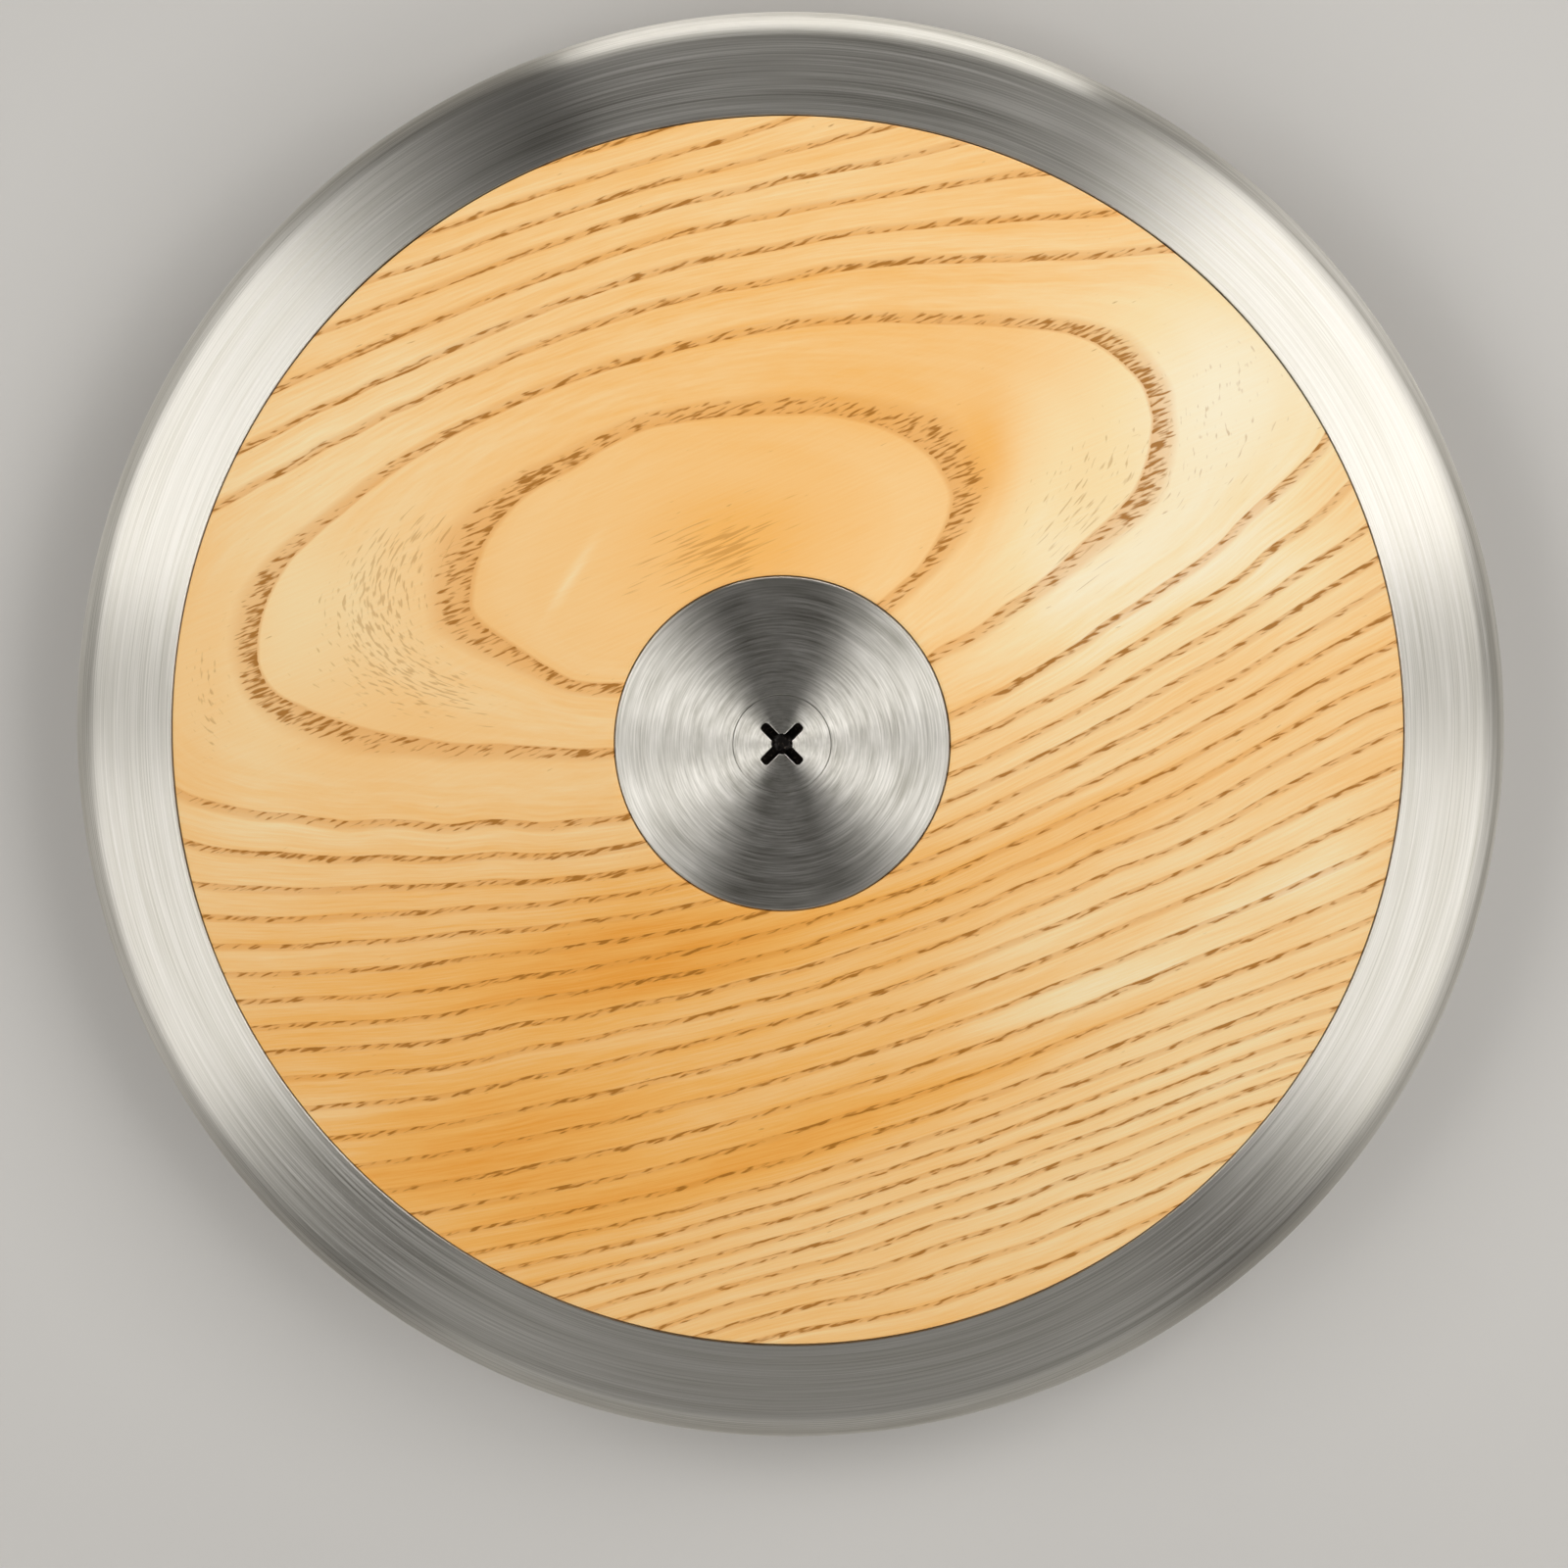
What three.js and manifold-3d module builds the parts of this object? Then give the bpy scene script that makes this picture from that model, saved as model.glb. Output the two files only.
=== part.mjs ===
// A 2 kg throwing discus: a turned stainless steel rim round two ash sides, with a steel plate
// let into the centre of each side and drawn together by two screws in one threaded sleeve.
// Millimetres, +Z up. The discus lies flat on its back plate, and the origin is the middle of
// that plate's outer face.

import * as THREE from "three";
import { mergeVertices } from "three/addons/utils/BufferGeometryUtils.js";
import Module from "manifold-3d";

const wasm = await Module();
wasm.setup();

// Overall sizes
const DISCUS_DIAMETER = 220;
const DISCUS_THICKNESS = 45; // over the two centre plates

// Rim
const RIM_WIDTH = 16; // metal seen on each side, measured along the radius
const NOSE_DEPTH = 5; // the rounded edge is half an ellipse: this is its radial half axis
const NOSE_HALF_HEIGHT = 6.1; // and this the half axis along the discus's own axis
const TONGUE_DEPTH = 10; // inner flange that the two sides close on
const TONGUE_THICKNESS = 6;
const RIM_EDGE_BREAK = 0.25;

// Wooden sides
const FLAT_DIAMETER = 51.2; // the sides are flat up to here, then taper straight to the rim
const CHAMBER_DIAMETER = 38; // trim weight chamber through both sides
const SIDE_EDGE_BREAK = 0.25;
const GLUE_GAP = 0.2; // between the two sides
const SEAM_GAP = 0.15; // between the wood and the steel that it fits in or on

// Centre plates
const PLATE_DIAMETER = 50;
const PLATE_THICKNESS = 4;
const PLATE_EDGE_BREAK = 0.3;
const PLATE_PROUD = 0.1; // the plate stands this much above the wood's flat

// Centre screws, M8 countersunk with a cross recess, heads ground flush with the plates
const SCREW_HEAD_DIAMETER = 14.6;
const SCREW_DIAMETER = 7.9;
const SCREW_LENGTH = 16; // over the head, as countersunk screws are measured
const SCREW_NECK = 0.8; // plain length between the head and the thread
const SCREW_POINT = 0.8; // chamfered end
const THREAD_PITCH = 1.25;
const THREAD_DEPTH = 0.68;
const SCREW_HOLE_GAP = 0.3; // round the screw where it passes the plate and the sleeve
const SCREW_SEAT_GAP = 0.15; // round the screw's head

// Cross recess in the screw heads
const RECESS_SPAN = 8.2; // tip to tip at the face
const RECESS_FOOT_SPAN = 3; // tip to tip at the bottom
const RECESS_ARM_WIDTH = 1.45;
const RECESS_CORE_DIAMETER = 3.1;
const RECESS_CORE_FOOT_DIAMETER = 1.6;
const RECESS_DEPTH = 3.9;

// Threaded sleeve and the trim weights round it
const SLEEVE_DIAMETER = 14;
const SLEEVE_MOUTH = 0.6; // chamfer at each mouth of the sleeve
const SLEEVE_END_GAP = 0.3; // between the sleeve and each plate
const WASHER_THICKNESS = 4.5;
const WASHERS_A_SIDE = 2;
const CHAMBER_GAP = 0.3; // between the chamber's wall and what lies in it
const SLEEVE_GAP = 0.3; // round the sleeve, in the washers and the packing rings
const STACK_GAP = 0.1; // between neighbours along the stack

// Dowels that key the rim's tongue to both sides
const DOWEL_DIAMETER = 5.4;
const DOWEL_LENGTH = 14;
const DOWEL_END_BREAK = 0.5;
const DOWEL_GAP = 0.3;
const DOWEL_COUNT = 6;

// How finely round things are drawn
const WIDE_SIDES = 72;
const PLATE_SIDES = 72;
const SMALL_SIDES = 36;
const SCREW_SIDES = 20;
const DOWEL_SIDES = 12;
const NOSE_STEPS = 8;
const ROWS_PER_PITCH = 4;
const CUT_OVERRUN = 1; // how far a cutter stands past the face that it cuts

const half = (size) => size / 2;
const topOfDiscus = half(DISCUS_THICKNESS);
const topOfWood = topOfDiscus - PLATE_PROUD;
const underPlate = topOfDiscus - PLATE_THICKNESS;
const plateLedge = underPlate - STACK_GAP;
const rimInnerRadius = half(DISCUS_DIAMETER) - RIM_WIDTH;
const tongueRadius = rimInnerRadius - TONGUE_DEPTH;
const screwHoleRadius = half(SCREW_DIAMETER) + SCREW_HOLE_GAP;
const dowelCircleRadius = rimInnerRadius - half(TONGUE_DEPTH);

const stainless = new THREE.MeshStandardMaterial({ color: 0xc9c6bc, metalness: 1, roughness: 0.34 });
const ash = new THREE.MeshStandardMaterial({ color: 0xe9be80, metalness: 0, roughness: 0.5 });
const zincPlated = new THREE.MeshStandardMaterial({ color: 0xa4a8ab, metalness: 1, roughness: 0.45 });
const bareSteel = new THREE.MeshStandardMaterial({ color: 0x7f8284, metalness: 1, roughness: 0.5 });
const felt = new THREE.MeshStandardMaterial({ color: 0x6f6a62, metalness: 0, roughness: 1 });
const beech = new THREE.MeshStandardMaterial({ color: 0xd8ab78, metalness: 0, roughness: 0.7 });

// The straight taper of a side meets the rim's elliptical nose as its tangent. The ellipse is
// squeezed to a circle to find the tangent's angle.
function taperAndNose() {
  const noseCentre = half(DISCUS_DIAMETER) - NOSE_DEPTH;
  const reach = noseCentre - half(FLAT_DIAMETER);
  const rise = topOfWood * (NOSE_DEPTH / NOSE_HALF_HEIGHT);
  const tangentAngle =
    Math.atan2(rise, -reach) - Math.acos(NOSE_DEPTH / Math.hypot(rise, reach));
  const nosePoint = (angle) => [
    noseCentre + NOSE_DEPTH * Math.cos(angle),
    NOSE_HALF_HEIGHT * Math.sin(angle),
  ];
  const [tangentRadius, tangentHeight] = nosePoint(tangentAngle);
  const slope = (topOfWood - tangentHeight) / (tangentRadius - half(FLAT_DIAMETER));
  return {
    faceHeight: (radius) => topOfWood - slope * (radius - half(FLAT_DIAMETER)),
    noseOutline: Array.from({ length: NOSE_STEPS + 1 }, (_, step) =>
      nosePoint(tangentAngle * ((2 * step) / NOSE_STEPS - 1)),
    ),
  };
}
const { faceHeight, noseOutline } = taperAndNose();

// Turns a closed outline of [radius, height] pairs, listed anticlockwise, about the Z axis.
function turned(outline, sides) {
  const points = [...outline, outline[0]].map(([radius, height]) => new THREE.Vector2(radius, height));
  return new THREE.LatheGeometry(points, sides).rotateX(Math.PI / 2);
}

// A ring of rectangular section between two radii and two heights.
function turnedRing(innerRadius, outerRadius, bottom, top, sides) {
  return turned(
    [
      [innerRadius, bottom],
      [outerRadius, bottom],
      [outerRadius, top],
      [innerRadius, top],
    ],
    sides,
  );
}

// Closes a stack of rings, given from the bottom up, into one body. Each row has a height and
// a function that gives its radius at an angle.
function stackedRings(rows, sides) {
  const positions = [];
  for (const { height, radiusAt } of rows) {
    for (let side = 0; side < sides; side++) {
      const angle = (2 * Math.PI * side) / sides;
      positions.push(radiusAt(angle) * Math.cos(angle), radiusAt(angle) * Math.sin(angle), height);
    }
  }
  const footCentre = rows.length * sides;
  const headCentre = footCentre + 1;
  positions.push(0, 0, rows[0].height, 0, 0, rows.at(-1).height);
  const index = [];
  const lastRow = (rows.length - 1) * sides;
  for (let side = 0; side < sides; side++) {
    const next = (side + 1) % sides;
    index.push(footCentre, next, side);
    index.push(headCentre, lastRow + side, lastRow + next);
    for (let row = 0; row < lastRow; row += sides) {
      index.push(row + side, row + next, row + sides + next);
      index.push(row + side, row + sides + next, row + sides + side);
    }
  }
  const geometry = new THREE.BufferGeometry();
  geometry.setAttribute("position", new THREE.Float32BufferAttribute(positions, 3));
  geometry.setIndex(index);
  geometry.computeVertexNormals();
  return geometry;
}

// Boolean cuts
function solidOf(geometry) {
  const bare = geometry.clone();
  bare.deleteAttribute("normal");
  bare.deleteAttribute("uv");
  const merged = mergeVertices(bare);
  return new wasm.Manifold(
    new wasm.Mesh({
      numProp: 3,
      vertProperties: merged.attributes.position.array,
      triVerts: Uint32Array.from(merged.index.array),
    }),
  );
}

function cutFrom(geometry, cutters) {
  const cut = cutters.reduce((body, cutter) => body.subtract(solidOf(cutter)), solidOf(geometry));
  const mesh = cut.getMesh();
  const result = new THREE.BufferGeometry();
  result.setAttribute("position", new THREE.BufferAttribute(mesh.vertProperties, 3));
  result.setIndex(new THREE.BufferAttribute(mesh.triVerts, 1));
  result.computeVertexNormals();
  return result;
}

// An upright bar for drilling the dowel holes, one for each dowel's place.
function dowelDrills(bottom, top) {
  return dowelPlaces().map(({ x, y }) =>
    new THREE.CylinderGeometry(
      half(DOWEL_DIAMETER) + DOWEL_GAP,
      half(DOWEL_DIAMETER) + DOWEL_GAP,
      top - bottom,
      DOWEL_SIDES,
    )
      .rotateX(Math.PI / 2)
      .translate(x, y, half(bottom + top)),
  );
}

function dowelPlaces() {
  return Array.from({ length: DOWEL_COUNT }, (_, number) => {
    const angle = (2 * Math.PI * number) / DOWEL_COUNT;
    return { x: dowelCircleRadius * Math.cos(angle), y: dowelCircleRadius * Math.sin(angle) };
  });
}

// The rim: elliptical nose, tapered faces, square inner wall and the tongue, drilled for dowels.
function rimGeometry() {
  const halfTongue = half(TONGUE_THICKNESS);
  const innerEdge = [
    [rimInnerRadius + RIM_EDGE_BREAK, faceHeight(rimInnerRadius + RIM_EDGE_BREAK)],
    [rimInnerRadius, faceHeight(rimInnerRadius) - RIM_EDGE_BREAK],
  ];
  const upperInside = [...innerEdge, [rimInnerRadius, halfTongue], [tongueRadius, halfTongue]];
  const lowerInside = upperInside.map(([radius, height]) => [radius, -height]).reverse();
  const ring = turned([...noseOutline, ...upperInside, ...lowerInside], WIDE_SIDES);
  return cutFrom(ring, dowelDrills(-halfTongue - CUT_OVERRUN, halfTongue + CUT_OVERRUN));
}

// One wooden side, with its glued face down: rebated over the tongue, let in for the plate and
// bored through for the trim weights.
function sideGeometry() {
  const outerRadius = rimInnerRadius - SEAM_GAP;
  const overTongue = half(TONGUE_THICKNESS) + SEAM_GAP;
  const recessRadius = half(PLATE_DIAMETER) + SEAM_GAP;
  const outline = [
    [half(CHAMBER_DIAMETER), half(GLUE_GAP)],
    [tongueRadius - SEAM_GAP, half(GLUE_GAP)],
    [tongueRadius - SEAM_GAP, overTongue],
    [outerRadius, overTongue],
    [outerRadius, faceHeight(outerRadius) - SIDE_EDGE_BREAK],
    [outerRadius - SIDE_EDGE_BREAK, faceHeight(outerRadius - SIDE_EDGE_BREAK)],
    [half(FLAT_DIAMETER), topOfWood],
    [recessRadius + SIDE_EDGE_BREAK, topOfWood],
    [recessRadius, topOfWood - SIDE_EDGE_BREAK],
    [recessRadius, plateLedge],
    [half(CHAMBER_DIAMETER), plateLedge],
  ];
  const holeTop = half(DOWEL_LENGTH) + DOWEL_GAP;
  return cutFrom(turned(outline, WIDE_SIDES), dowelDrills(overTongue - CUT_OVERRUN, holeTop));
}

// A centre plate with its countersunk hole.
function plateGeometry() {
  const edgeRadius = half(PLATE_DIAMETER);
  const mouthRadius = half(SCREW_HEAD_DIAMETER) + SCREW_SEAT_GAP;
  return turned(
    [
      [screwHoleRadius, underPlate],
      [edgeRadius, underPlate],
      [edgeRadius, topOfDiscus - PLATE_EDGE_BREAK],
      [edgeRadius - PLATE_EDGE_BREAK, topOfDiscus],
      [mouthRadius, topOfDiscus],
      [screwHoleRadius, topOfDiscus - (mouthRadius - screwHoleRadius)],
    ],
    PLATE_SIDES,
  );
}

// A countersunk screw, head up, with a helical thread and a cross recess.
function screwGeometry() {
  const headRadius = half(SCREW_HEAD_DIAMETER);
  const crestRadius = half(SCREW_DIAMETER);
  const rootRadius = crestRadius - THREAD_DEPTH;
  const underHead = topOfDiscus - (headRadius - crestRadius);
  const threadTop = underHead - SCREW_NECK;
  const pointTop = topOfDiscus - SCREW_LENGTH + SCREW_POINT;
  const plainRow = (height, radius) => ({ height, radiusAt: () => radius });
  const threadRow = (height) => ({
    height,
    radiusAt: (angle) => {
      const turn = height / THREAD_PITCH - angle / (2 * Math.PI);
      const fromCrest = Math.abs(2 * (turn - Math.floor(turn)) - 1);
      return crestRadius - THREAD_DEPTH * fromCrest;
    },
  });
  const rowCount = Math.round(((threadTop - pointTop) * ROWS_PER_PITCH) / THREAD_PITCH);
  const threadRows = Array.from({ length: rowCount + 1 }, (_, row) =>
    threadRow(pointTop + ((threadTop - pointTop) * row) / rowCount),
  );
  const rows = [
    plainRow(topOfDiscus - SCREW_LENGTH, rootRadius - half(SCREW_POINT)),
    plainRow(pointTop - half(THREAD_PITCH / ROWS_PER_PITCH), rootRadius),
    ...threadRows,
    plainRow(threadTop + half(THREAD_PITCH / ROWS_PER_PITCH), rootRadius),
    plainRow(underHead, crestRadius),
    plainRow(topOfDiscus, headRadius),
  ];
  return cutFrom(stackedRings(rows, SCREW_SIDES), crossRecess());
}

// The two tapered arms and the tapered core that are cut from a screw head.
function crossRecess() {
  const flare = (RECESS_SPAN - RECESS_FOOT_SPAN) / RECESS_DEPTH;
  const wideSpan = RECESS_SPAN + flare * CUT_OVERRUN;
  const top = topOfDiscus + CUT_OVERRUN;
  const foot = topOfDiscus - RECESS_DEPTH;
  const blade = new THREE.Shape([
    new THREE.Vector2(-half(RECESS_FOOT_SPAN), foot),
    new THREE.Vector2(half(RECESS_FOOT_SPAN), foot),
    new THREE.Vector2(half(wideSpan), top),
    new THREE.Vector2(-half(wideSpan), top),
  ]);
  const arm = (angle) =>
    new THREE.ExtrudeGeometry(blade, { depth: RECESS_ARM_WIDTH, bevelEnabled: false })
      .translate(0, 0, -half(RECESS_ARM_WIDTH))
      .rotateX(Math.PI / 2)
      .rotateZ(angle);
  const core = new THREE.CylinderGeometry(
    half(RECESS_CORE_DIAMETER),
    half(RECESS_CORE_FOOT_DIAMETER),
    top - foot,
    DOWEL_SIDES,
  )
    .rotateX(Math.PI / 2)
    .translate(0, 0, half(top + foot));
  return [arm(Math.PI / 4), arm(-Math.PI / 4), core];
}

// The sleeve that both screws run into, bored at the thread's major diameter.
function sleeveGeometry() {
  const top = underPlate - SLEEVE_END_GAP;
  const upper = [
    [half(SLEEVE_DIAMETER), top],
    [screwHoleRadius + SLEEVE_MOUTH, top],
    [screwHoleRadius, top - SLEEVE_MOUTH],
  ];
  const lower = upper.map(([radius, height]) => [radius, -height]).reverse();
  return turned([...lower, ...upper], SMALL_SIDES);
}

// A ring that lies in the chamber, round the sleeve, from one height to another.
function chamberRing(bottom, top) {
  return turnedRing(
    half(SLEEVE_DIAMETER) + SLEEVE_GAP,
    half(CHAMBER_DIAMETER) - CHAMBER_GAP,
    bottom,
    top,
    SMALL_SIDES,
  );
}

// A trim washer of the stack, counted outwards from the middle of the chamber.
const washerFoot = (number) => half(STACK_GAP) + number * (WASHER_THICKNESS + STACK_GAP);
function washerGeometry(number) {
  return chamberRing(washerFoot(number), washerFoot(number) + WASHER_THICKNESS);
}

// The felt ring that packs what the washers leave of the chamber, so that nothing rattles.
function packingGeometry() {
  return chamberRing(washerFoot(WASHERS_A_SIDE), plateLedge);
}

function dowelGeometry() {
  const radius = half(DOWEL_DIAMETER);
  const end = half(DOWEL_LENGTH);
  const row = (height, rowRadius) => ({ height, radiusAt: () => rowRadius });
  return stackedRings(
    [
      row(-end, radius - DOWEL_END_BREAK),
      row(-end + DOWEL_END_BREAK, radius),
      row(end - DOWEL_END_BREAK, radius),
      row(end, radius - DOWEL_END_BREAK),
    ],
    DOWEL_SIDES,
  );
}

function piece(name, geometry, material) {
  const mesh = new THREE.Mesh(geometry, material);
  mesh.name = name;
  return mesh;
}

// Everything that a face of the discus has of its own, built with that face up.
function halfDiscus(face) {
  const group = new THREE.Group();
  group.add(
    piece(`${face}_side`, sideGeometry(), ash),
    piece(`${face}_centre_plate`, plateGeometry(), stainless),
    piece(`${face}_centre_screw`, screwGeometry(), stainless),
    piece(`${face}_packing_ring`, packingGeometry(), felt),
  );
  for (let number = 0; number < WASHERS_A_SIDE; number++) {
    group.add(piece(`${face}_trim_washer_${number + 1}`, washerGeometry(number), bareSteel));
  }
  return group;
}

const discus = new THREE.Group();
discus.position.z = topOfDiscus;
discus.add(
  piece("rim", rimGeometry(), stainless),
  piece("sleeve_nut", sleeveGeometry(), zincPlated),
  halfDiscus("front"),
);
const backHalf = halfDiscus("back");
backHalf.rotation.x = Math.PI;
discus.add(backHalf);
dowelPlaces().forEach(({ x, y }, number) => {
  const dowel = piece(`rim_dowel_${number + 1}`, dowelGeometry(), beech);
  dowel.position.set(x, y, 0);
  discus.add(dowel);
});

const model = new THREE.Group();
model.add(discus);
export default model;
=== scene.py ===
"""Dresses a 2 kg throwing discus: brushed steel rim and centre plates round varnished ash sides.

The discus lies flat on its back plate, with its front face up. Lengths are in metres. The camera
looks straight down on the front face, with +X to the right and +Y up.
"""

import logging
import math
from collections.abc import Callable
from dataclasses import dataclass
from enum import Enum
from functools import cached_property, partial
from typing import NamedTuple

import bmesh
import bpy
import numpy as np
from mathutils import Matrix, Vector


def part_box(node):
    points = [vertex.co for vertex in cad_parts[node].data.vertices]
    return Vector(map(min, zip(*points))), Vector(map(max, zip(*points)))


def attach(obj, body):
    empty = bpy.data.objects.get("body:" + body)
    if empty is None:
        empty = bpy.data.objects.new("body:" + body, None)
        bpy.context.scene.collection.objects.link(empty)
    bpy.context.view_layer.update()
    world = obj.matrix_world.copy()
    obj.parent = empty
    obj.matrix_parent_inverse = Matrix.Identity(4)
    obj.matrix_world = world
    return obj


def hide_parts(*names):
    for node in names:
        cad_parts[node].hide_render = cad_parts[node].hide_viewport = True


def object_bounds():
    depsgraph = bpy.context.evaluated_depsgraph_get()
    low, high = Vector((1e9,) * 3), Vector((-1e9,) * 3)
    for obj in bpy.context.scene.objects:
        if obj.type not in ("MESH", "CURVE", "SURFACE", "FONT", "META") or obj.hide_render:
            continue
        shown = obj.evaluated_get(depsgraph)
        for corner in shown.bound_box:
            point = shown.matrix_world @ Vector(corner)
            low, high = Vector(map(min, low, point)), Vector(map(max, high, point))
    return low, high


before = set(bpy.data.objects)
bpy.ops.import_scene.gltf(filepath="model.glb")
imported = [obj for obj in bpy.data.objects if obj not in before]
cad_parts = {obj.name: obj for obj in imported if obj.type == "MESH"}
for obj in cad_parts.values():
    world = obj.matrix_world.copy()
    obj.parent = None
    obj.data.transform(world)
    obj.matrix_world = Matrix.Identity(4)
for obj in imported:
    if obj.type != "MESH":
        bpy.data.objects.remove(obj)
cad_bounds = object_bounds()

log = logging.getLogger("discus")

MM = 0.001
BODY = "root"
WELD = 0.001 * MM
REACH = 0.02 * MM  # how close to a place a point has to lie to be picked there
SMOOTH_ANGLE = math.radians(25)
FACE_WEIGHT = 90  # above 50, large faces bend the shading more than small ones
LOOKS_DOWN = -0.5  # a face whose normal is lower than this looks down
WIDE_SIDES = 384
PLATE_SIDES = 256
SMALL_SIDES = 96
NOISE_RANGE = {1: 0.3, 2: 0.7}  # nearly all of a noise's values lie between these
NOISE_DETAIL = 3.0
TINY = 1e-9  # keeps a logarithm finite

Point = tuple[float, float]
Pair = tuple[float, float]
Patch = tuple[float, float, float, float, float, float]
Colour = tuple[float, float, float, float]
Source = bpy.types.Node | bpy.types.NodeSocket
NodeAdder = Callable[..., bpy.types.Node]


class Face(Enum):
    """The two faces of the discus, which are made alike and lie back to back."""

    FRONT = "front"
    BACK = "back"

    def node(self, piece: str) -> str:
        """Returns the name of this face's own node for a piece."""
        return f"{self.value}_{piece}"


class Slot(Enum):
    """The record's material slots for the pieces that show."""

    STAINLESS = "turned_stainless"
    ASH = "varnished_ash"


class GrainData(Enum):
    """Vertex attributes that carry a board's grain to its varnished finish.

    RINGS holds the year ring's number, how open the rings lie and how amber the wood is.
    FIBRES holds the place along and across the fibres and the distance from ring to ring.
    MARKS holds how many small flecks and how many combed pores show away from the rows.
    """

    RINGS = "grain_rings"
    FIBRES = "grain_fibres"
    MARKS = "grain_marks"


class Grain(NamedTuple):
    """The shader sockets that GrainData's attributes arrive at."""

    ring: bpy.types.NodeSocket
    openness: bpy.types.NodeSocket
    warmth: bpy.types.NodeSocket
    along: bpy.types.NodeSocket
    across: bpy.types.NodeSocket
    spacing: bpy.types.NodeSocket
    flecks: bpy.types.NodeSocket
    combs: bpy.types.NodeSocket


def linear(hex_colour: str) -> Colour:
    """Turns an sRGB colour into the linear colour that shaders take.

    Args:
        hex_colour: a colour such as "#c9c5bb".

    Returns:
        The colour's linear red, green and blue, and an alpha of one.
    """
    shares = [int(hex_colour[start : start + 2], 16) / 255 for start in (1, 3, 5)]
    steps = [s / 12.92 if s <= 0.04045 else ((s + 0.055) / 1.055) ** 2.4 for s in shares]
    return (*steps, 1.0)


def add_node(
    tree: bpy.types.NodeTree,
    kind: str,
    inputs: dict | None = None,
    stops: dict[float, str] | None = None,
    **settings: object,
) -> bpy.types.Node:
    """Adds a node with its settings and links.

    Args:
        tree: the node tree that gets the node.
        kind: Blender's name for the kind of node, without its "ShaderNode".
        inputs: for a socket's name or number, what goes into it: a node, whose first output
            is linked, an output, an sRGB colour or a plain value.
        stops: for a colour ramp, the sRGB colour at each position.
        settings: attributes of the node, such as its operation.

    Returns:
        The new node.
    """
    node = tree.nodes.new("ShaderNode" + kind)
    for name, value in settings.items():
        setattr(node, name, value)
    for name, value in (inputs or {}).items():
        by_number = isinstance(name, int)
        socket = node.inputs[name] if by_number else enabled(node.inputs, name)
        if isinstance(value, bpy.types.Node):
            tree.links.new(enabled(value.outputs), socket)
        elif isinstance(value, bpy.types.NodeSocket):
            tree.links.new(value, socket)
        elif isinstance(value, str):
            socket.default_value = linear(value)
        else:
            socket.default_value = value
    if stops:
        elements = node.color_ramp.elements
        while len(elements) < len(stops):
            elements.new(0.5)
        for element, (position, colour) in zip(elements, sorted(stops.items())):
            element.position = position
            element.color = linear(colour)
    return node


def enabled(sockets: bpy.types.bpy_prop_collection, name: str = "") -> bpy.types.NodeSocket:
    """Returns a node's first socket that is in use, or the first one in use with that name."""
    return next(s for s in sockets if s.enabled and (not name or s.name == name))


def new_material(name: str) -> tuple[bpy.types.Material, NodeAdder]:
    """Starts a material.

    Args:
        name: the material's name.

    Returns:
        The material, and add_node bound to its emptied node tree.
    """
    material = bpy.data.materials.new(name)
    material.use_nodes = True
    material.node_tree.nodes.clear()
    return material, partial(add_node, material.node_tree)


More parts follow.
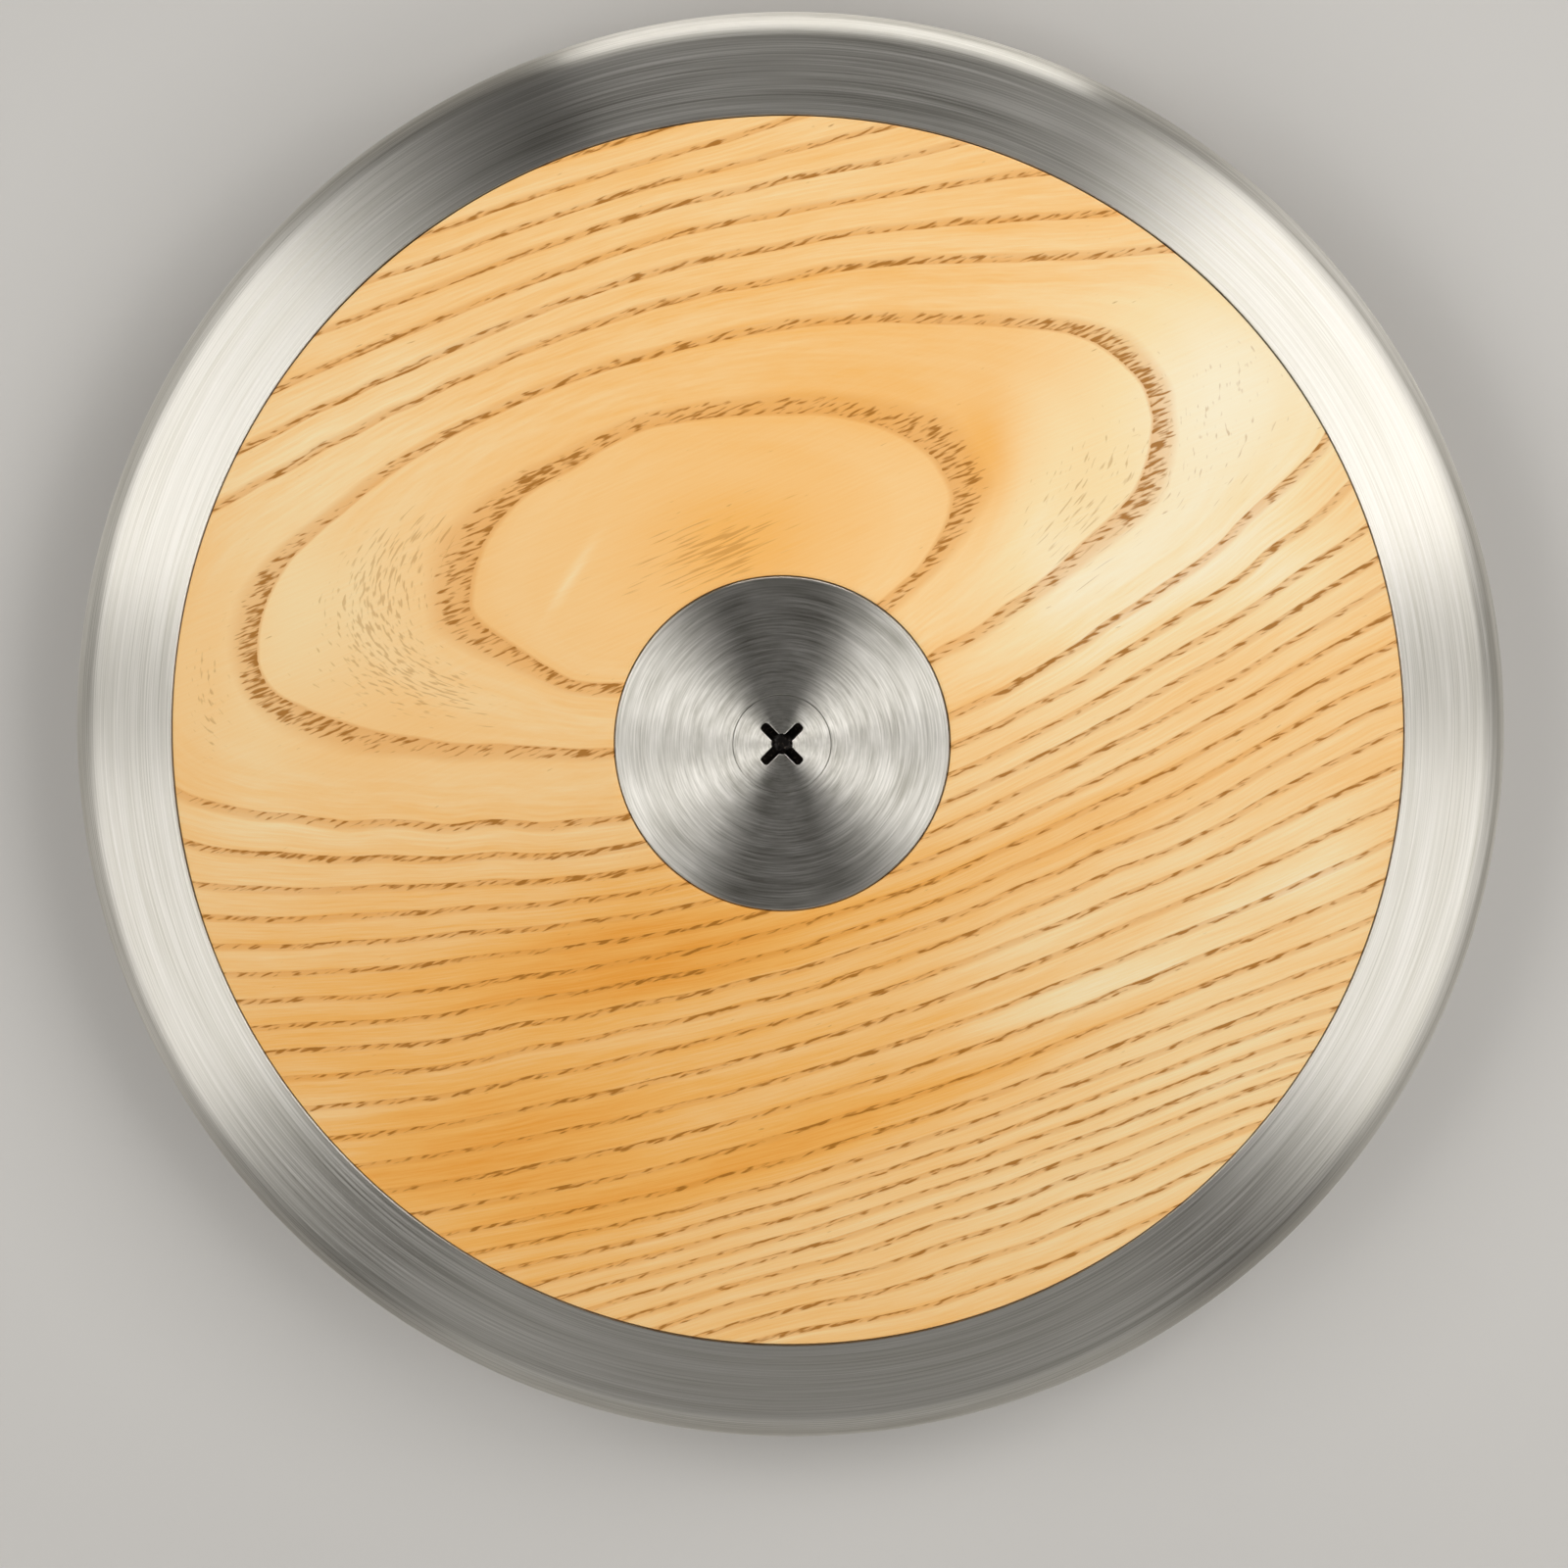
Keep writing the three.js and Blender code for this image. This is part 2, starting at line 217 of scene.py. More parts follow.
@dataclass(frozen=True)
class TurnedStainless:
    """Stainless steel brushed on the lathe: fine ring scratches round the discus's axis.

    The scratches spread light across themselves, so that a lamp at the side shows as a bright
    sector with soft edges. A lighter ring is a rougher one, so the rings nearly vanish in the
    bright sectors and stand out in the dark ones.
    """

    name: str
    mid_height: float
    light: str = "#dedad2"
    dark: str = "#aca89d"
    tone_ends: Pair = (0.36, 0.64)  # noise at which a ring is all dark and all light
    roughness: float = 0.35
    roughness_swing: float = 0.15
    anisotropy: float = 1.0
    sheen_turn: float = 0.25  # lays the spread of light across the scratches
    scratch_width: float = 0.27 * MM  # real ones are finer: this is the least that shows
    scratch_bend: float = 2.0  # how soon a scratch fades along its ring
    scratch_harshness: float = 0.6
    scratch_depth: float = 0.002 * MM
    band_width: float = 2.2 * MM
    band_share: float = 0.38

    def material(self) -> bpy.types.Material:
        """Mixes the finish.

        Returns:
            Its material.
        """
        material, add = new_material(self.name)
        place = add("SeparateXYZ", {0: add("TexCoord").outputs["Object"]}).outputs
        flat = add("CombineXYZ", {0: place["X"], 1: place["Y"]})
        radius = add("VectorMath", {0: flat}, operation="LENGTH").outputs["Value"]
        outward = add("VectorMath", {0: flat}, operation="NORMALIZE")
        turn = add("VectorMath", {0: outward, "Scale": self.scratch_bend}, operation="SCALE")
        rise = add("Math", {0: place["Z"], 1: self.mid_height}, operation="SUBTRACT")
        height = add("Math", {0: rise}, operation="ABSOLUTE")
        across = add("Math", {0: radius, 1: height}, operation="SUBTRACT")
        patterns = []
        for width in (self.scratch_width, self.band_width):
            row = add("Math", {0: across, 1: width}, operation="DIVIDE")
            rows = add("CombineXYZ", {"Z": row})
            where = add("VectorMath", {0: turn, 1: rows}, operation="ADD")
            fineness = {"Detail": NOISE_DETAIL, "Roughness": self.scratch_harshness}
            patterns.append(add("TexNoise", {"Vector": where, "Scale": 1.0, **fineness}))
        scratches, bands = patterns
        both = add("Mix", {"Factor": self.band_share, "A": scratches, "B": bands})
        half_swing = self.roughness_swing / 2
        rough_ends = {3: self.roughness - half_swing, 4: self.roughness + half_swing}
        tones = dict(zip(self.tone_ends, (self.dark, self.light)))
        grooves = {"Height": scratches, "Distance": self.scratch_depth}
        shader = add(
            "BsdfPrincipled",
            {
                "Base Color": add("ValToRGB", {0: both}, tones),
                "Metallic": 1.0,
                "Roughness": add("MapRange", {0: both, **NOISE_RANGE, **rough_ends}),
                "Anisotropic": self.anisotropy,
                "Anisotropic Rotation": self.sheen_turn,
                "Tangent": add("Tangent", direction_type="RADIAL", axis="Z"),
                "Normal": add("Bump", grooves),
            },
        )
        add("OutputMaterial", {"Surface": shader})
        return material


@dataclass(frozen=True)
class VarnishedAsh:
    """Plain-sawn ash under satin varnish.

    Each year ring starts with a crisp edge and a row of open brown pores that thins outwards.
    A row is narrow where the rings lie close and wide and combed where they open out.
    """

    name: str
    pale: str = "#efe2c2"
    cream: str = "#edd3a0"
    honey: str = "#edc182"
    amber: str = "#eaad5a"
    deep: str = "#e4993a"
    pore: str = "#9b610f"
    pore_cover: float = 0.88
    stain: str = "#d48b33"
    stain_cover: float = 0.5
    roughness: float = 0.42
    pore_roughness: float = 0.6
    shine: float = 0.18
    pore_depth: float = 0.01 * MM

    # How far a stroke or streak reaches along and across the fibres, unless it says otherwise
    pore_size: Pair = (2.7 * MM, 0.5 * MM)
    comb_size: Pair = (7.0 * MM, 0.42 * MM)
    fleck_size: Pair = (1.7 * MM, 0.019)  # across the fibres and in rings
    fibre_size: Pair = (9 * MM, 0.35 * MM)
    ring_fibre_size: Pair = (9 * MM, 1 / 12)  # along the fibres and in rings
    wander_size: Pair = (7 * MM, 3 * MM)
    streak_size: Pair = (1 / 1.6, 55 * MM)  # in rings and along the fibres
    thinning_size: Pair = (1 / 1.4, 20 * MM)  # the same, for where pores are scarce

    # Rows of pores. A pair of rings says where a value starts and stops changing outwards.
    row_widths: Pair = (1.3 * MM, 0.95 * MM)
    narrowing_rings: Pair = (2.5, 8.0)
    row_spreads: Pair = (8.0, 3.8)  # by how much the square of the ring spacing widens a row
    heart_rings: Pair = (1.4, 1.9)
    widest_spacing: float = 25 * MM  # rows widen up to this ring spacing
    lead: float = 0.08  # share of a ring by which a row may wander back over its edge
    wobble: float = 0.2 * MM
    stain_reach: Pair = (-0.1, 1.15)  # where the stain starts and ends, in widths of a row

    # A pore shows where noise stands above a bar, whose heights are for no pores and for many.
    pore_bars: Pair = (0.75, 0.428)
    pore_softness: float = 0.15
    thinning: Pair = (-0.11, 0.04)  # lowers the noise where pores are scarce
    loose_bars: Pair = (0.8, 0.47)
    loose_softness: float = 0.1
    loose_depth: float = 0.42

    # Shifts of tone between the palest wood, nought, and the deepest, one
    fibre_swings: Pair = (0.1, 0.04)  # where the rings lie close and where they open out
    fibre_harshness: float = 0.65
    streak_swing: float = 0.09
    late_wood: float = 0.05
    late_wood_start: float = 0.35  # as a share of a ring

    def material(self) -> bpy.types.Material:
        """Mixes the finish.

        Returns:
            Its material.
        """
        material, add = new_material(self.name)
        attributes = [add("Attribute", attribute_name=kind.value) for kind in GrainData]
        sources = [add("SeparateXYZ", {0: a.outputs["Vector"]}).outputs for a in attributes]
        sockets = [socket for source in sources for socket in source]
        grain = Grain(*sockets[: len(Grain._fields)])
        density, stain = self.rows(add, grain)
        pores = self.pores(add, grain, density)
        woods = (self.pale, self.cream, self.honey, self.amber, self.deep)
        tones = {step / (len(woods) - 1): wood for step, wood in enumerate(woods)}
        colour = add("ValToRGB", {0: self.tone(add, grain)}, tones)
        for share, cover, dark in (
            (stain, self.stain_cover, self.stain),
            (pores, self.pore_cover, self.pore),
        ):
            covered = add("Math", {0: share, 1: cover}, operation="MULTIPLY")
            layers = {"Factor": covered, "A": colour, "B": dark}
            colour = add("Mix", layers, data_type="RGBA")
        relief = {"Height": pores, "Distance": self.pore_depth}
        rough_ends = {3: self.roughness, 4: self.pore_roughness}
        shader = add(
            "BsdfPrincipled",
            {
                "Base Color": colour,
                "Roughness": add("MapRange", {0: pores, **rough_ends}),
                "Normal": add("Bump", relief, invert=True),
                "Specular IOR Level": self.shine,
            },
        )
        add("OutputMaterial", {"Surface": shader})
        return material

    def rows(self, add: NodeAdder, grain: Grain) -> tuple[bpy.types.Node, bpy.types.Node]:
        """Draws the rows of pores as soft bands that start at each ring's first edge.

        Args:
            add: add_node bound to the material's tree.
            grain: the board's grain.

        Returns:
            Two nodes with values from nought to one: how thickly the pores lie, and how much
            they stain the wood round them.
        """
        shifted = add("Math", {0: grain.ring, 1: self.lead}, operation="ADD")
        share = add("Math", {0: shifted}, operation="FRACT")
        from_edge = add("Math", {0: share, 1: self.lead}, operation="SUBTRACT")
        distance = add("Math", {0: from_edge, 1: grain.spacing}, operation="MULTIPLY")
        fibres = (grain.along, grain.across)
        wander = self.drawn_out_noise(add, fibres, self.wander_size, seed=7.0, detail=2.0)
        wobble = add("MapRange", {0: wander, 3: -self.wobble, 4: self.wobble})
        moved = add("Math", {0: distance, 1: wobble}, operation="ADD")
        capped = add("Math", {0: grain.spacing, 1: self.widest_spacing}, operation="MINIMUM")
        squared = add("Math", {0: capped, 1: 2.0}, operation="POWER")
        spread, least = (
            add("MapRange", dict(enumerate((grain.ring, *rings, *values))))
            for rings, values in (
                (self.heart_rings, self.row_spreads),
                (self.narrowing_rings, self.row_widths),
            )
        )
        widening = add("Math", {0: squared, 1: spread}, operation="MULTIPLY")
        width = add("Math", {0: widening, 1: least}, operation="ADD")
        fill = add("Math", {0: moved, 1: width}, operation="DIVIDE")
        fades = {0.0: "#000000", 0.05: "#ffffff", 0.6: "#f0f0f0", 0.85: "#b4b4b4", 1.0: "#000000"}
        density = add("ValToRGB", {0: fill}, fades)
        reach = add("MapRange", dict(enumerate((fill, *self.stain_reach))))
        soak = {0.0: "#000000", 0.1: "#ffffff", 0.7: "#d0d0d0", 1.0: "#000000"}
        return density, add("ValToRGB", {0: reach}, soak)

    def pores(self, add: NodeAdder, grain: Grain, density: Source) -> bpy.types.Node:
        """Draws the single pores, as short strokes along the fibres.

        Args:
            add: add_node bound to the material's tree.
            grain: the board's grain.
            density: how thickly the pores lie.

        Returns:
            A node whose value is one in a pore and nought between the pores.
        """
        rings = (grain.ring, grain.along)
        plenty = self.drawn_out_noise(add, rings, self.thinning_size, seed=11.0)
        lift_ends = dict(zip((3, 4), self.thinning))
        lift = add("MapRange", {0: plenty, **NOISE_RANGE, **lift_ends})
        fibres = (grain.along, grain.across)
        strokes = self.drawn_out_noise(add, fibres, self.pore_size)
        raised = add("Math", {0: strokes, 1: lift}, operation="ADD")
        pores = self.above_bar(add, raised, density, self.pore_bars, self.pore_softness)
        for share, ways, size in (
            (grain.combs, fibres, self.comb_size),
            (grain.flecks, (grain.across, grain.ring), self.fleck_size),
        ):
            strokes = self.drawn_out_noise(add, ways, size, seed=5.0)
            look = (self.loose_bars, self.loose_softness, self.loose_depth)
            loose = self.above_bar(add, strokes, share, *look)
            pores = add("Math", {0: pores, 1: loose}, operation="MAXIMUM")
        return pores

    @staticmethod
    def drawn_out_noise(
        add: NodeAdder,
        ways: tuple[Source, Source],
        size: Pair,
        seed: float = 0.0,
        detail: float = 1.0,
        harshness: float = 0.5,
    ) -> bpy.types.Node:
        """Draws noise out into strokes or streaks.

        Args:
            add: add_node bound to the material's tree.
            ways: the two measures that the noise runs along.
            size: how far a stroke reaches in each of them.
            seed: a number that sets this noise apart from another.
            detail: how many finer noises lie over the first.
            harshness: how strong those are.

        Returns:
            The noise, whose value is high in the strokes.
        """
        steps = [add("Math", {0: w, 1: s}, operation="DIVIDE") for w, s in zip(ways, size)]
        place = add("CombineXYZ", dict(enumerate((*steps, seed))))
        fineness = {"Detail": detail, "Roughness": harshness}
        return add("TexNoise", {"Vector": place, "Scale": 1.0, **fineness})

    @staticmethod
    def above_bar(
        add: NodeAdder,
        noise: Source,
        share: Source,
        bars: Pair,
        softness: float,
        depth: float = 1.0,
    ) -> bpy.types.Node:
        """Keeps of a noise what stands above a bar.

        Args:
            add: add_node bound to the material's tree.
            noise: the noise.
            share: how far the bar has moved from its first height to its second.
            bars: those two heights.
            softness: how far above the bar the result reaches its depth.
            depth: the result's highest value.

        Returns:
            A node whose value is nought below the bar.
        """
        bar = add("MapRange", dict(zip((0, 3, 4), (share, *bars))))
        over = add("Math", {0: noise, 1: bar}, operation="SUBTRACT")
        return add("MapRange", {0: over, 1: 0.0, 2: softness, 4: depth})

    def tone(self, add: NodeAdder, grain: Grain) -> bpy.types.Node:
        """Mixes how deep the wood's colour is from the board, its rings and its fibres.

        Args:
            add: add_node bound to the material's tree.
            grain: the board's grain.

        Returns:
            A node whose value is nought for the palest wood and one for the deepest.
        """
        close, opened = (
            self.drawn_out_noise(
                add, (grain.along, side), size, detail=4.0, harshness=self.fibre_harshness
            )
            for side, size in (
                (grain.ring, self.ring_fibre_size),
                (grain.across, self.fibre_size),
            )
        )
        fibre = add("Mix", {"Factor": grain.openness, "A": close, "B": opened})
        fibre_swing = add("MapRange", dict(zip((0, 3, 4), (grain.openness, *self.fibre_swings))))
        fibre_centred = add("MapRange", {0: fibre, **NOISE_RANGE, 3: -1.0, 4: 1.0})
        fibre_tone = add("Math", {0: fibre_centred, 1: fibre_swing}, operation="MULTIPLY")
        rings = (grain.ring, grain.along)
        streak = self.drawn_out_noise(add, rings, self.streak_size, seed=2.0, detail=2.0)
        swing_ends = {3: -self.streak_swing, 4: self.streak_swing}
        streak_tone = add("MapRange", {0: streak, **NOISE_RANGE, **swing_ends})
        share = add("Math", {0: grain.ring}, operation="FRACT")
        late = add("MapRange", {0: share, 1: self.late_wood_start, 2: 1.0, 4: self.late_wood})
        tone = grain.warmth
        for part in (fibre_tone, streak_tone, late):
            tone = add("Math", {0: tone, 1: part}, operation="ADD")
        return tone


@dataclass(frozen=True)
class PaintedRecessShade:
    """Painted shade for a screw's pressed recess: a near-black colour with painted glints, which
    hides the metal.
    """

    name: str
    # near black: painted shade that stands in for the shade deep in the recess
    painted_shade: str = "#140d08"
    # lighter spots in the noise: painted glints
    painted_glint: str = "#6a5f52"
    tone_ends: Pair = (0.56, 0.78)  # noise at which a lump is all painted shade and all painted glint
    metallic: float = 0.6
    roughness: float = 0.42
    lump: float = 0.5 * MM
    lump_depth: float = 0.03 * MM

    def material(self) -> bpy.types.Material:
        """Mixes the finish.

        Returns:
            Its material.
        """
        material, add = new_material(self.name)
        place = add("TexCoord").outputs["Object"]
        size = {"Scale": 1 / self.lump, "Detail": NOISE_DETAIL}
        lumps = add("TexNoise", {"Vector": place, **size})
        tones = dict(zip(self.tone_ends, (self.painted_shade, self.painted_glint)))
        shader = add(
            "BsdfPrincipled",
            {
                "Base Color": add("ValToRGB", {0: lumps}, tones),
                "Metallic": self.metallic,
                "Roughness": self.roughness,
                "Normal": add("Bump", {"Height": lumps, "Distance": self.lump_depth}),
            },
        )
        add("OutputMaterial", {"Surface": shader})
        return material


@dataclass(frozen=True)
class PlainFinish:
    """A finish of two close tones in fine lumps, for what lies inside the discus."""

    name: str
    light: str
    dark: str
    metallic: float
    roughness: float
    lump: tuple[float, float, float]  # its size along each axis, in millimetres
    lump_depth: float  # in millimetres
    tone_ends: Pair = (0.35, 0.65)  # noise at which a lump is all dark and all light
    roughness_swing: float = 0.16

    def material(self) -> bpy.types.Material:
        """Mixes the finish.

        Returns:
            Its material.
        """
        material, add = new_material(self.name)
        scale = [1 / (size * MM) for size in self.lump]
        place = add("Mapping", {"Vector": add("TexCoord").outputs["Object"], "Scale": scale})
        lumps = add("TexNoise", {"Vector": place, "Scale": 1.0, "Detail": NOISE_DETAIL})
        tones = dict(zip(self.tone_ends, (self.dark, self.light)))
        half_swing = self.roughness_swing / 2
        rough_ends = {3: self.roughness - half_swing, 4: self.roughness + half_swing}
        shader = add(
            "BsdfPrincipled",
            {
                "Base Color": add("ValToRGB", {0: lumps}, tones),
                "Metallic": self.metallic,
                "Roughness": add("MapRange", {0: lumps, **NOISE_RANGE, **rough_ends}),
                "Normal": add("Bump", {"Height": lumps, "Distance": self.lump_depth * MM}),
            },
        )
        add("OutputMaterial", {"Surface": shader})
        return material


# Inner finishes, each by a word in the names of its nodes: bright even zinc, steel with the
# streaks of rolling, matt felt and beech with long fibres.
INNER_FINISHES = {
    "sleeve_nut": PlainFinish("zinc_plated_steel", "#b4b8ba", "#96999c", 1.0, 0.42, (1, 1, 1), 0.01),
    "washer": PlainFinish("rolled_bare_steel", "#8a8d8f", "#6c6e70", 1.0, 0.5, (4, 0.3, 1), 0.02),
    "packing": PlainFinish("pressed_wool_felt", "#7c776e", "#5a554e", 0.0, 0.95, (1, 1, 0.4), 0.2),
    "dowel": PlainFinish("planed_beech", "#dcb183", "#c4935f", 0.0, 0.65, (0.4, 0.4, 6), 0.03),
}


def weld() -> None:
    """Selects all of the mesh in edit mode and merges its doubles."""
    bpy.ops.mesh.select_all(action="SELECT")
    bpy.ops.mesh.remove_doubles(threshold=WELD)


def hold(piece: bpy.types.Object) -> None:
    """Selects a piece, and nothing else, and makes it the active one.

    Args:
        piece: the piece.
    """
    bpy.ops.object.select_all(action="DESELECT")
    piece.select_set(True)
    bpy.context.view_layer.objects.active = piece


def pick(piece: bpy.types.Object, kind: str, wanted: Callable[..., bool]) -> None:
    """Selects a piece's edges or faces, and nothing else, in edit mode.

    Args:
        piece: the piece, which is in edit mode.
        kind: "EDGE" or "FACE".
        wanted: says of an edge or face whether it is wanted.
    """
    bpy.ops.mesh.select_mode(type=kind)
    bpy.ops.mesh.select_all(action="DESELECT")
    mesh = bmesh.from_edit_mesh(piece.data)
    for part in mesh.edges if kind == "EDGE" else mesh.faces:
        if wanted(part):
            part.select_set(True)
    bmesh.update_edit_mesh(piece.data)


class Workpiece:
    """A piece on the bench: it is drawn and shaped in edit mode and then finished."""

    def __init__(self, name: str, start: Vector) -> None:
        """Puts the first point of an outline down and stays in edit mode.

        Args:
            name: the piece's name.
            start: the outline's first point.
        """
        bpy.ops.object.select_all(action="DESELECT")
        bpy.ops.mesh.primitive_plane_add(size=REACH, location=(0, 0, 0))
        self.piece = bpy.context.object
        self.piece.name = name
        self.piece.data.name = name
        bpy.ops.object.mode_set(mode="EDIT")
        bpy.ops.mesh.merge(type="CENTER")
        bpy.ops.transform.translate(value=start)
        self.last = start

    def draw_to(self, point: Vector) -> None:
        """Extrudes the outline from its last point to a new one."""
        bpy.ops.mesh.extrude_vertices_move(TRANSFORM_OT_translate={"value": point - self.last})
        self.last = point

    def round_rings(self, corners: list[Point], size: float, segments: int = 3) -> None:
        """Rounds the turned edges that pass through corners of the outline.

        Args:
            corners: each corner's radius and height.
            size: how far the rounding reaches along each side.
            segments: flats that make up the rounding.
        """
        def at_corner(edge: bmesh.types.BMEdge) -> bool:
            """Says whether an edge runs along one of the corners' rings."""
            ends = [(math.hypot(end.co.x, end.co.y), end.co.z) for end in edge.verts]
            return any(all(math.dist(end, c) < REACH for end in ends) for c in corners)

        pick(self.piece, "EDGE", at_corner)
        bpy.ops.mesh.bevel(offset=size, segments=segments, affect="EDGES")

    def finish(self) -> bpy.types.Object:
        """Turns the faces outwards and smooths the shading.

        Returns:
            The piece, in object mode.
        """
        bpy.ops.mesh.select_mode(type="VERT")
        weld()
        bpy.ops.mesh.normals_make_consistent(inside=False)
        bpy.ops.object.mode_set(mode="OBJECT")
        bpy.ops.object.shade_smooth_by_angle(angle=SMOOTH_ANGLE)
        return self.piece


def turned(name: str, outline: list[Point], sides: int) -> Workpiece:
    """Draws an outline and spins it about the Z axis.

    Args:
        name: the piece's name.
        outline: radius and height of each corner, in order. An outline that starts and ends on
            the axis makes a solid middle, and any other one is closed.
        sides: flats round the axis.

    Returns:
        The workpiece, still in edit mode.
    """
    closing = outline[:1] if outline[0][0] > 0 else []
    points = [Vector((radius, 0, height)) for radius, height in [*outline, *closing]]
    work = Workpiece(name, points[0])
    for point in points[1:]:
        work.draw_to(point)
    weld()
    bpy.ops.mesh.spin(steps=sides, angle=2 * math.pi, center=(0, 0, 0), axis=(0, 0, 1))
    weld()
    return work


def apply_modifier(piece: bpy.types.Object, kind: str, **settings: object) -> None:
    """Adds a modifier to a piece and applies it.

    Args:
        piece: the piece.
        kind: Blender's name for the kind of modifier.
        settings: attributes of the modifier.
    """
    hold(piece)
    modifier = piece.modifiers.new(kind.lower(), kind)
    for name, value in settings.items():
        setattr(modifier, name, value)
    bpy.ops.object.modifier_apply(modifier=modifier.name)


def even_shading(piece: bpy.types.Object) -> None:
    """Lets the large faces set the shading, so that flats look flat up to their rounded edges."""
    apply_modifier(piece, "WEIGHTED_NORMAL", keep_sharp=True, weight=FACE_WEIGHT)


def copy_turned_over(piece: bpy.types.Object, name: str, mid_height: float) -> bpy.types.Object:
    """Copies a piece of the front face and turns it over to the back.

    Args:
        piece: the front face's piece.
        name: the copy's name.
        mid_height: height of the discus's middle plane.

    Returns:
        The copy, with its own mesh.
    """
    hold(piece)
    bpy.ops.object.duplicate(linked=False)
    copy = bpy.context.object
    copy.name = name
    copy.data.name = name
    bpy.ops.object.mode_set(mode="EDIT")
    bpy.ops.mesh.select_all(action="SELECT")
    middle = (0, 0, mid_height)
    bpy.ops.transform.rotate(value=math.pi, orient_axis="X", center_override=middle)
    bpy.ops.object.mode_set(mode="OBJECT")
    return copy


def settle(piece: bpy.types.Object, node: str, slot: Slot, *materials: bpy.types.Material) -> None:
    """Dresses a finished piece and puts it in the frame in place of its CAD node.

    Args:
        piece: the finished piece.
        node: the CAD node that it replaces.
        slot: the record's material slot that it takes its finish from; not used.
        materials: the piece's finishes, the main one first.
    """
    for material in materials[len(piece.data.materials) :]:
        piece.data.materials.append(material)
    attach(piece, BODY)
    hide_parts(node)
    log.info("%s: %d faces", piece.name, len(piece.data.polygons))


@dataclass(frozen=True)
class DiscusForm:
    """The outer form that the rim and the sides share: a flat, a straight taper and a nose.

    Heights are above the middle plane. The taper is tangent to the nose, which is half an
    ellipse, squeezed to a circle here to find the tangent's angle.
    """

    mid_height: float = (cad_bounds[0].z + cad_bounds[1].z) / 2
    radius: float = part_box("rim")[1].x
    wood_top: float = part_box(Face.FRONT.node("side"))[1].z
    flat_radius: float = 25.6 * MM
    nose_depth: float = 5 * MM
    nose_half_height: float = 6.1 * MM
    nose_steps: int = 36

    @cached_property
    def tangent_angle(self) -> float:
        """Angle along the nose's ellipse at which the taper leaves it."""
        reach = self.radius - self.nose_depth - self.flat_radius
        rise = (self.wood_top - self.mid_height) * self.nose_depth / self.nose_half_height
        lean = math.acos(self.nose_depth / math.hypot(rise, reach))
        return math.atan2(rise, -reach) - lean

    def nose(self, angle: float) -> Point:
        """Returns the radius and height of the nose's point at an angle along its ellipse."""
        radius = self.radius - self.nose_depth + self.nose_depth * math.cos(angle)
        return radius, self.mid_height + self.nose_half_height * math.sin(angle)

    def face_height(self, radius: float) -> float:
        """Works out how high the front face's straight taper lies.

        Args:
            radius: where the height is wanted.

        Returns:
            The height there.
        """
        end_radius, end_height = self.nose(self.tangent_angle)
        slope = (self.wood_top - end_height) / (end_radius - self.flat_radius)
        return self.wood_top - slope * (radius - self.flat_radius)

    def mirrored(self, outline: list[Point]) -> list[Point]:
        """Returns an outline's mirror image in the middle plane, in the opposite order."""
        return [(radius, 2 * self.mid_height - height) for radius, height in reversed(outline)]


@dataclass(frozen=True)
class Rim:
    """The steel rim: a rounded nose, tapered faces and the tongue that the sides close on."""

    form: DiscusForm
    inner_radius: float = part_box("rim")[1].x - 16 * MM
    tongue_depth: float = 10 * MM
    tongue_half_thickness: float = 3 * MM
    edge_break: float = 0.25 * MM
    face_steps: int = 6

    def build(self, finish: bpy.types.Material) -> None:
        """Builds the rim and settles it.

        Args:
            finish: turned stainless steel.
        """
        form = self.form
        angles = np.linspace(form.tangent_angle, -form.tangent_angle, form.nose_steps + 1)
        nose = [form.nose(angle) for angle in angles]
        face_radii = np.linspace(self.inner_radius, nose[0][0], self.face_steps + 1)
        face = [(radius, form.face_height(radius)) for radius in face_radii[:-1]]
        root = form.mid_height + self.tongue_half_thickness
        tongue = [(self.inner_radius - self.tongue_depth, root), (self.inner_radius, root)]
        upper = tongue + face
        work = turned("steel_rim", [*upper, *nose, *form.mirrored(upper)], WIDE_SIDES)
        work.round_rings([face[0], form.mirrored(face)[-1]], self.edge_break)
        rim = work.finish()
        even_shading(rim)
        settle(rim, "rim", Slot.STAINLESS, finish)


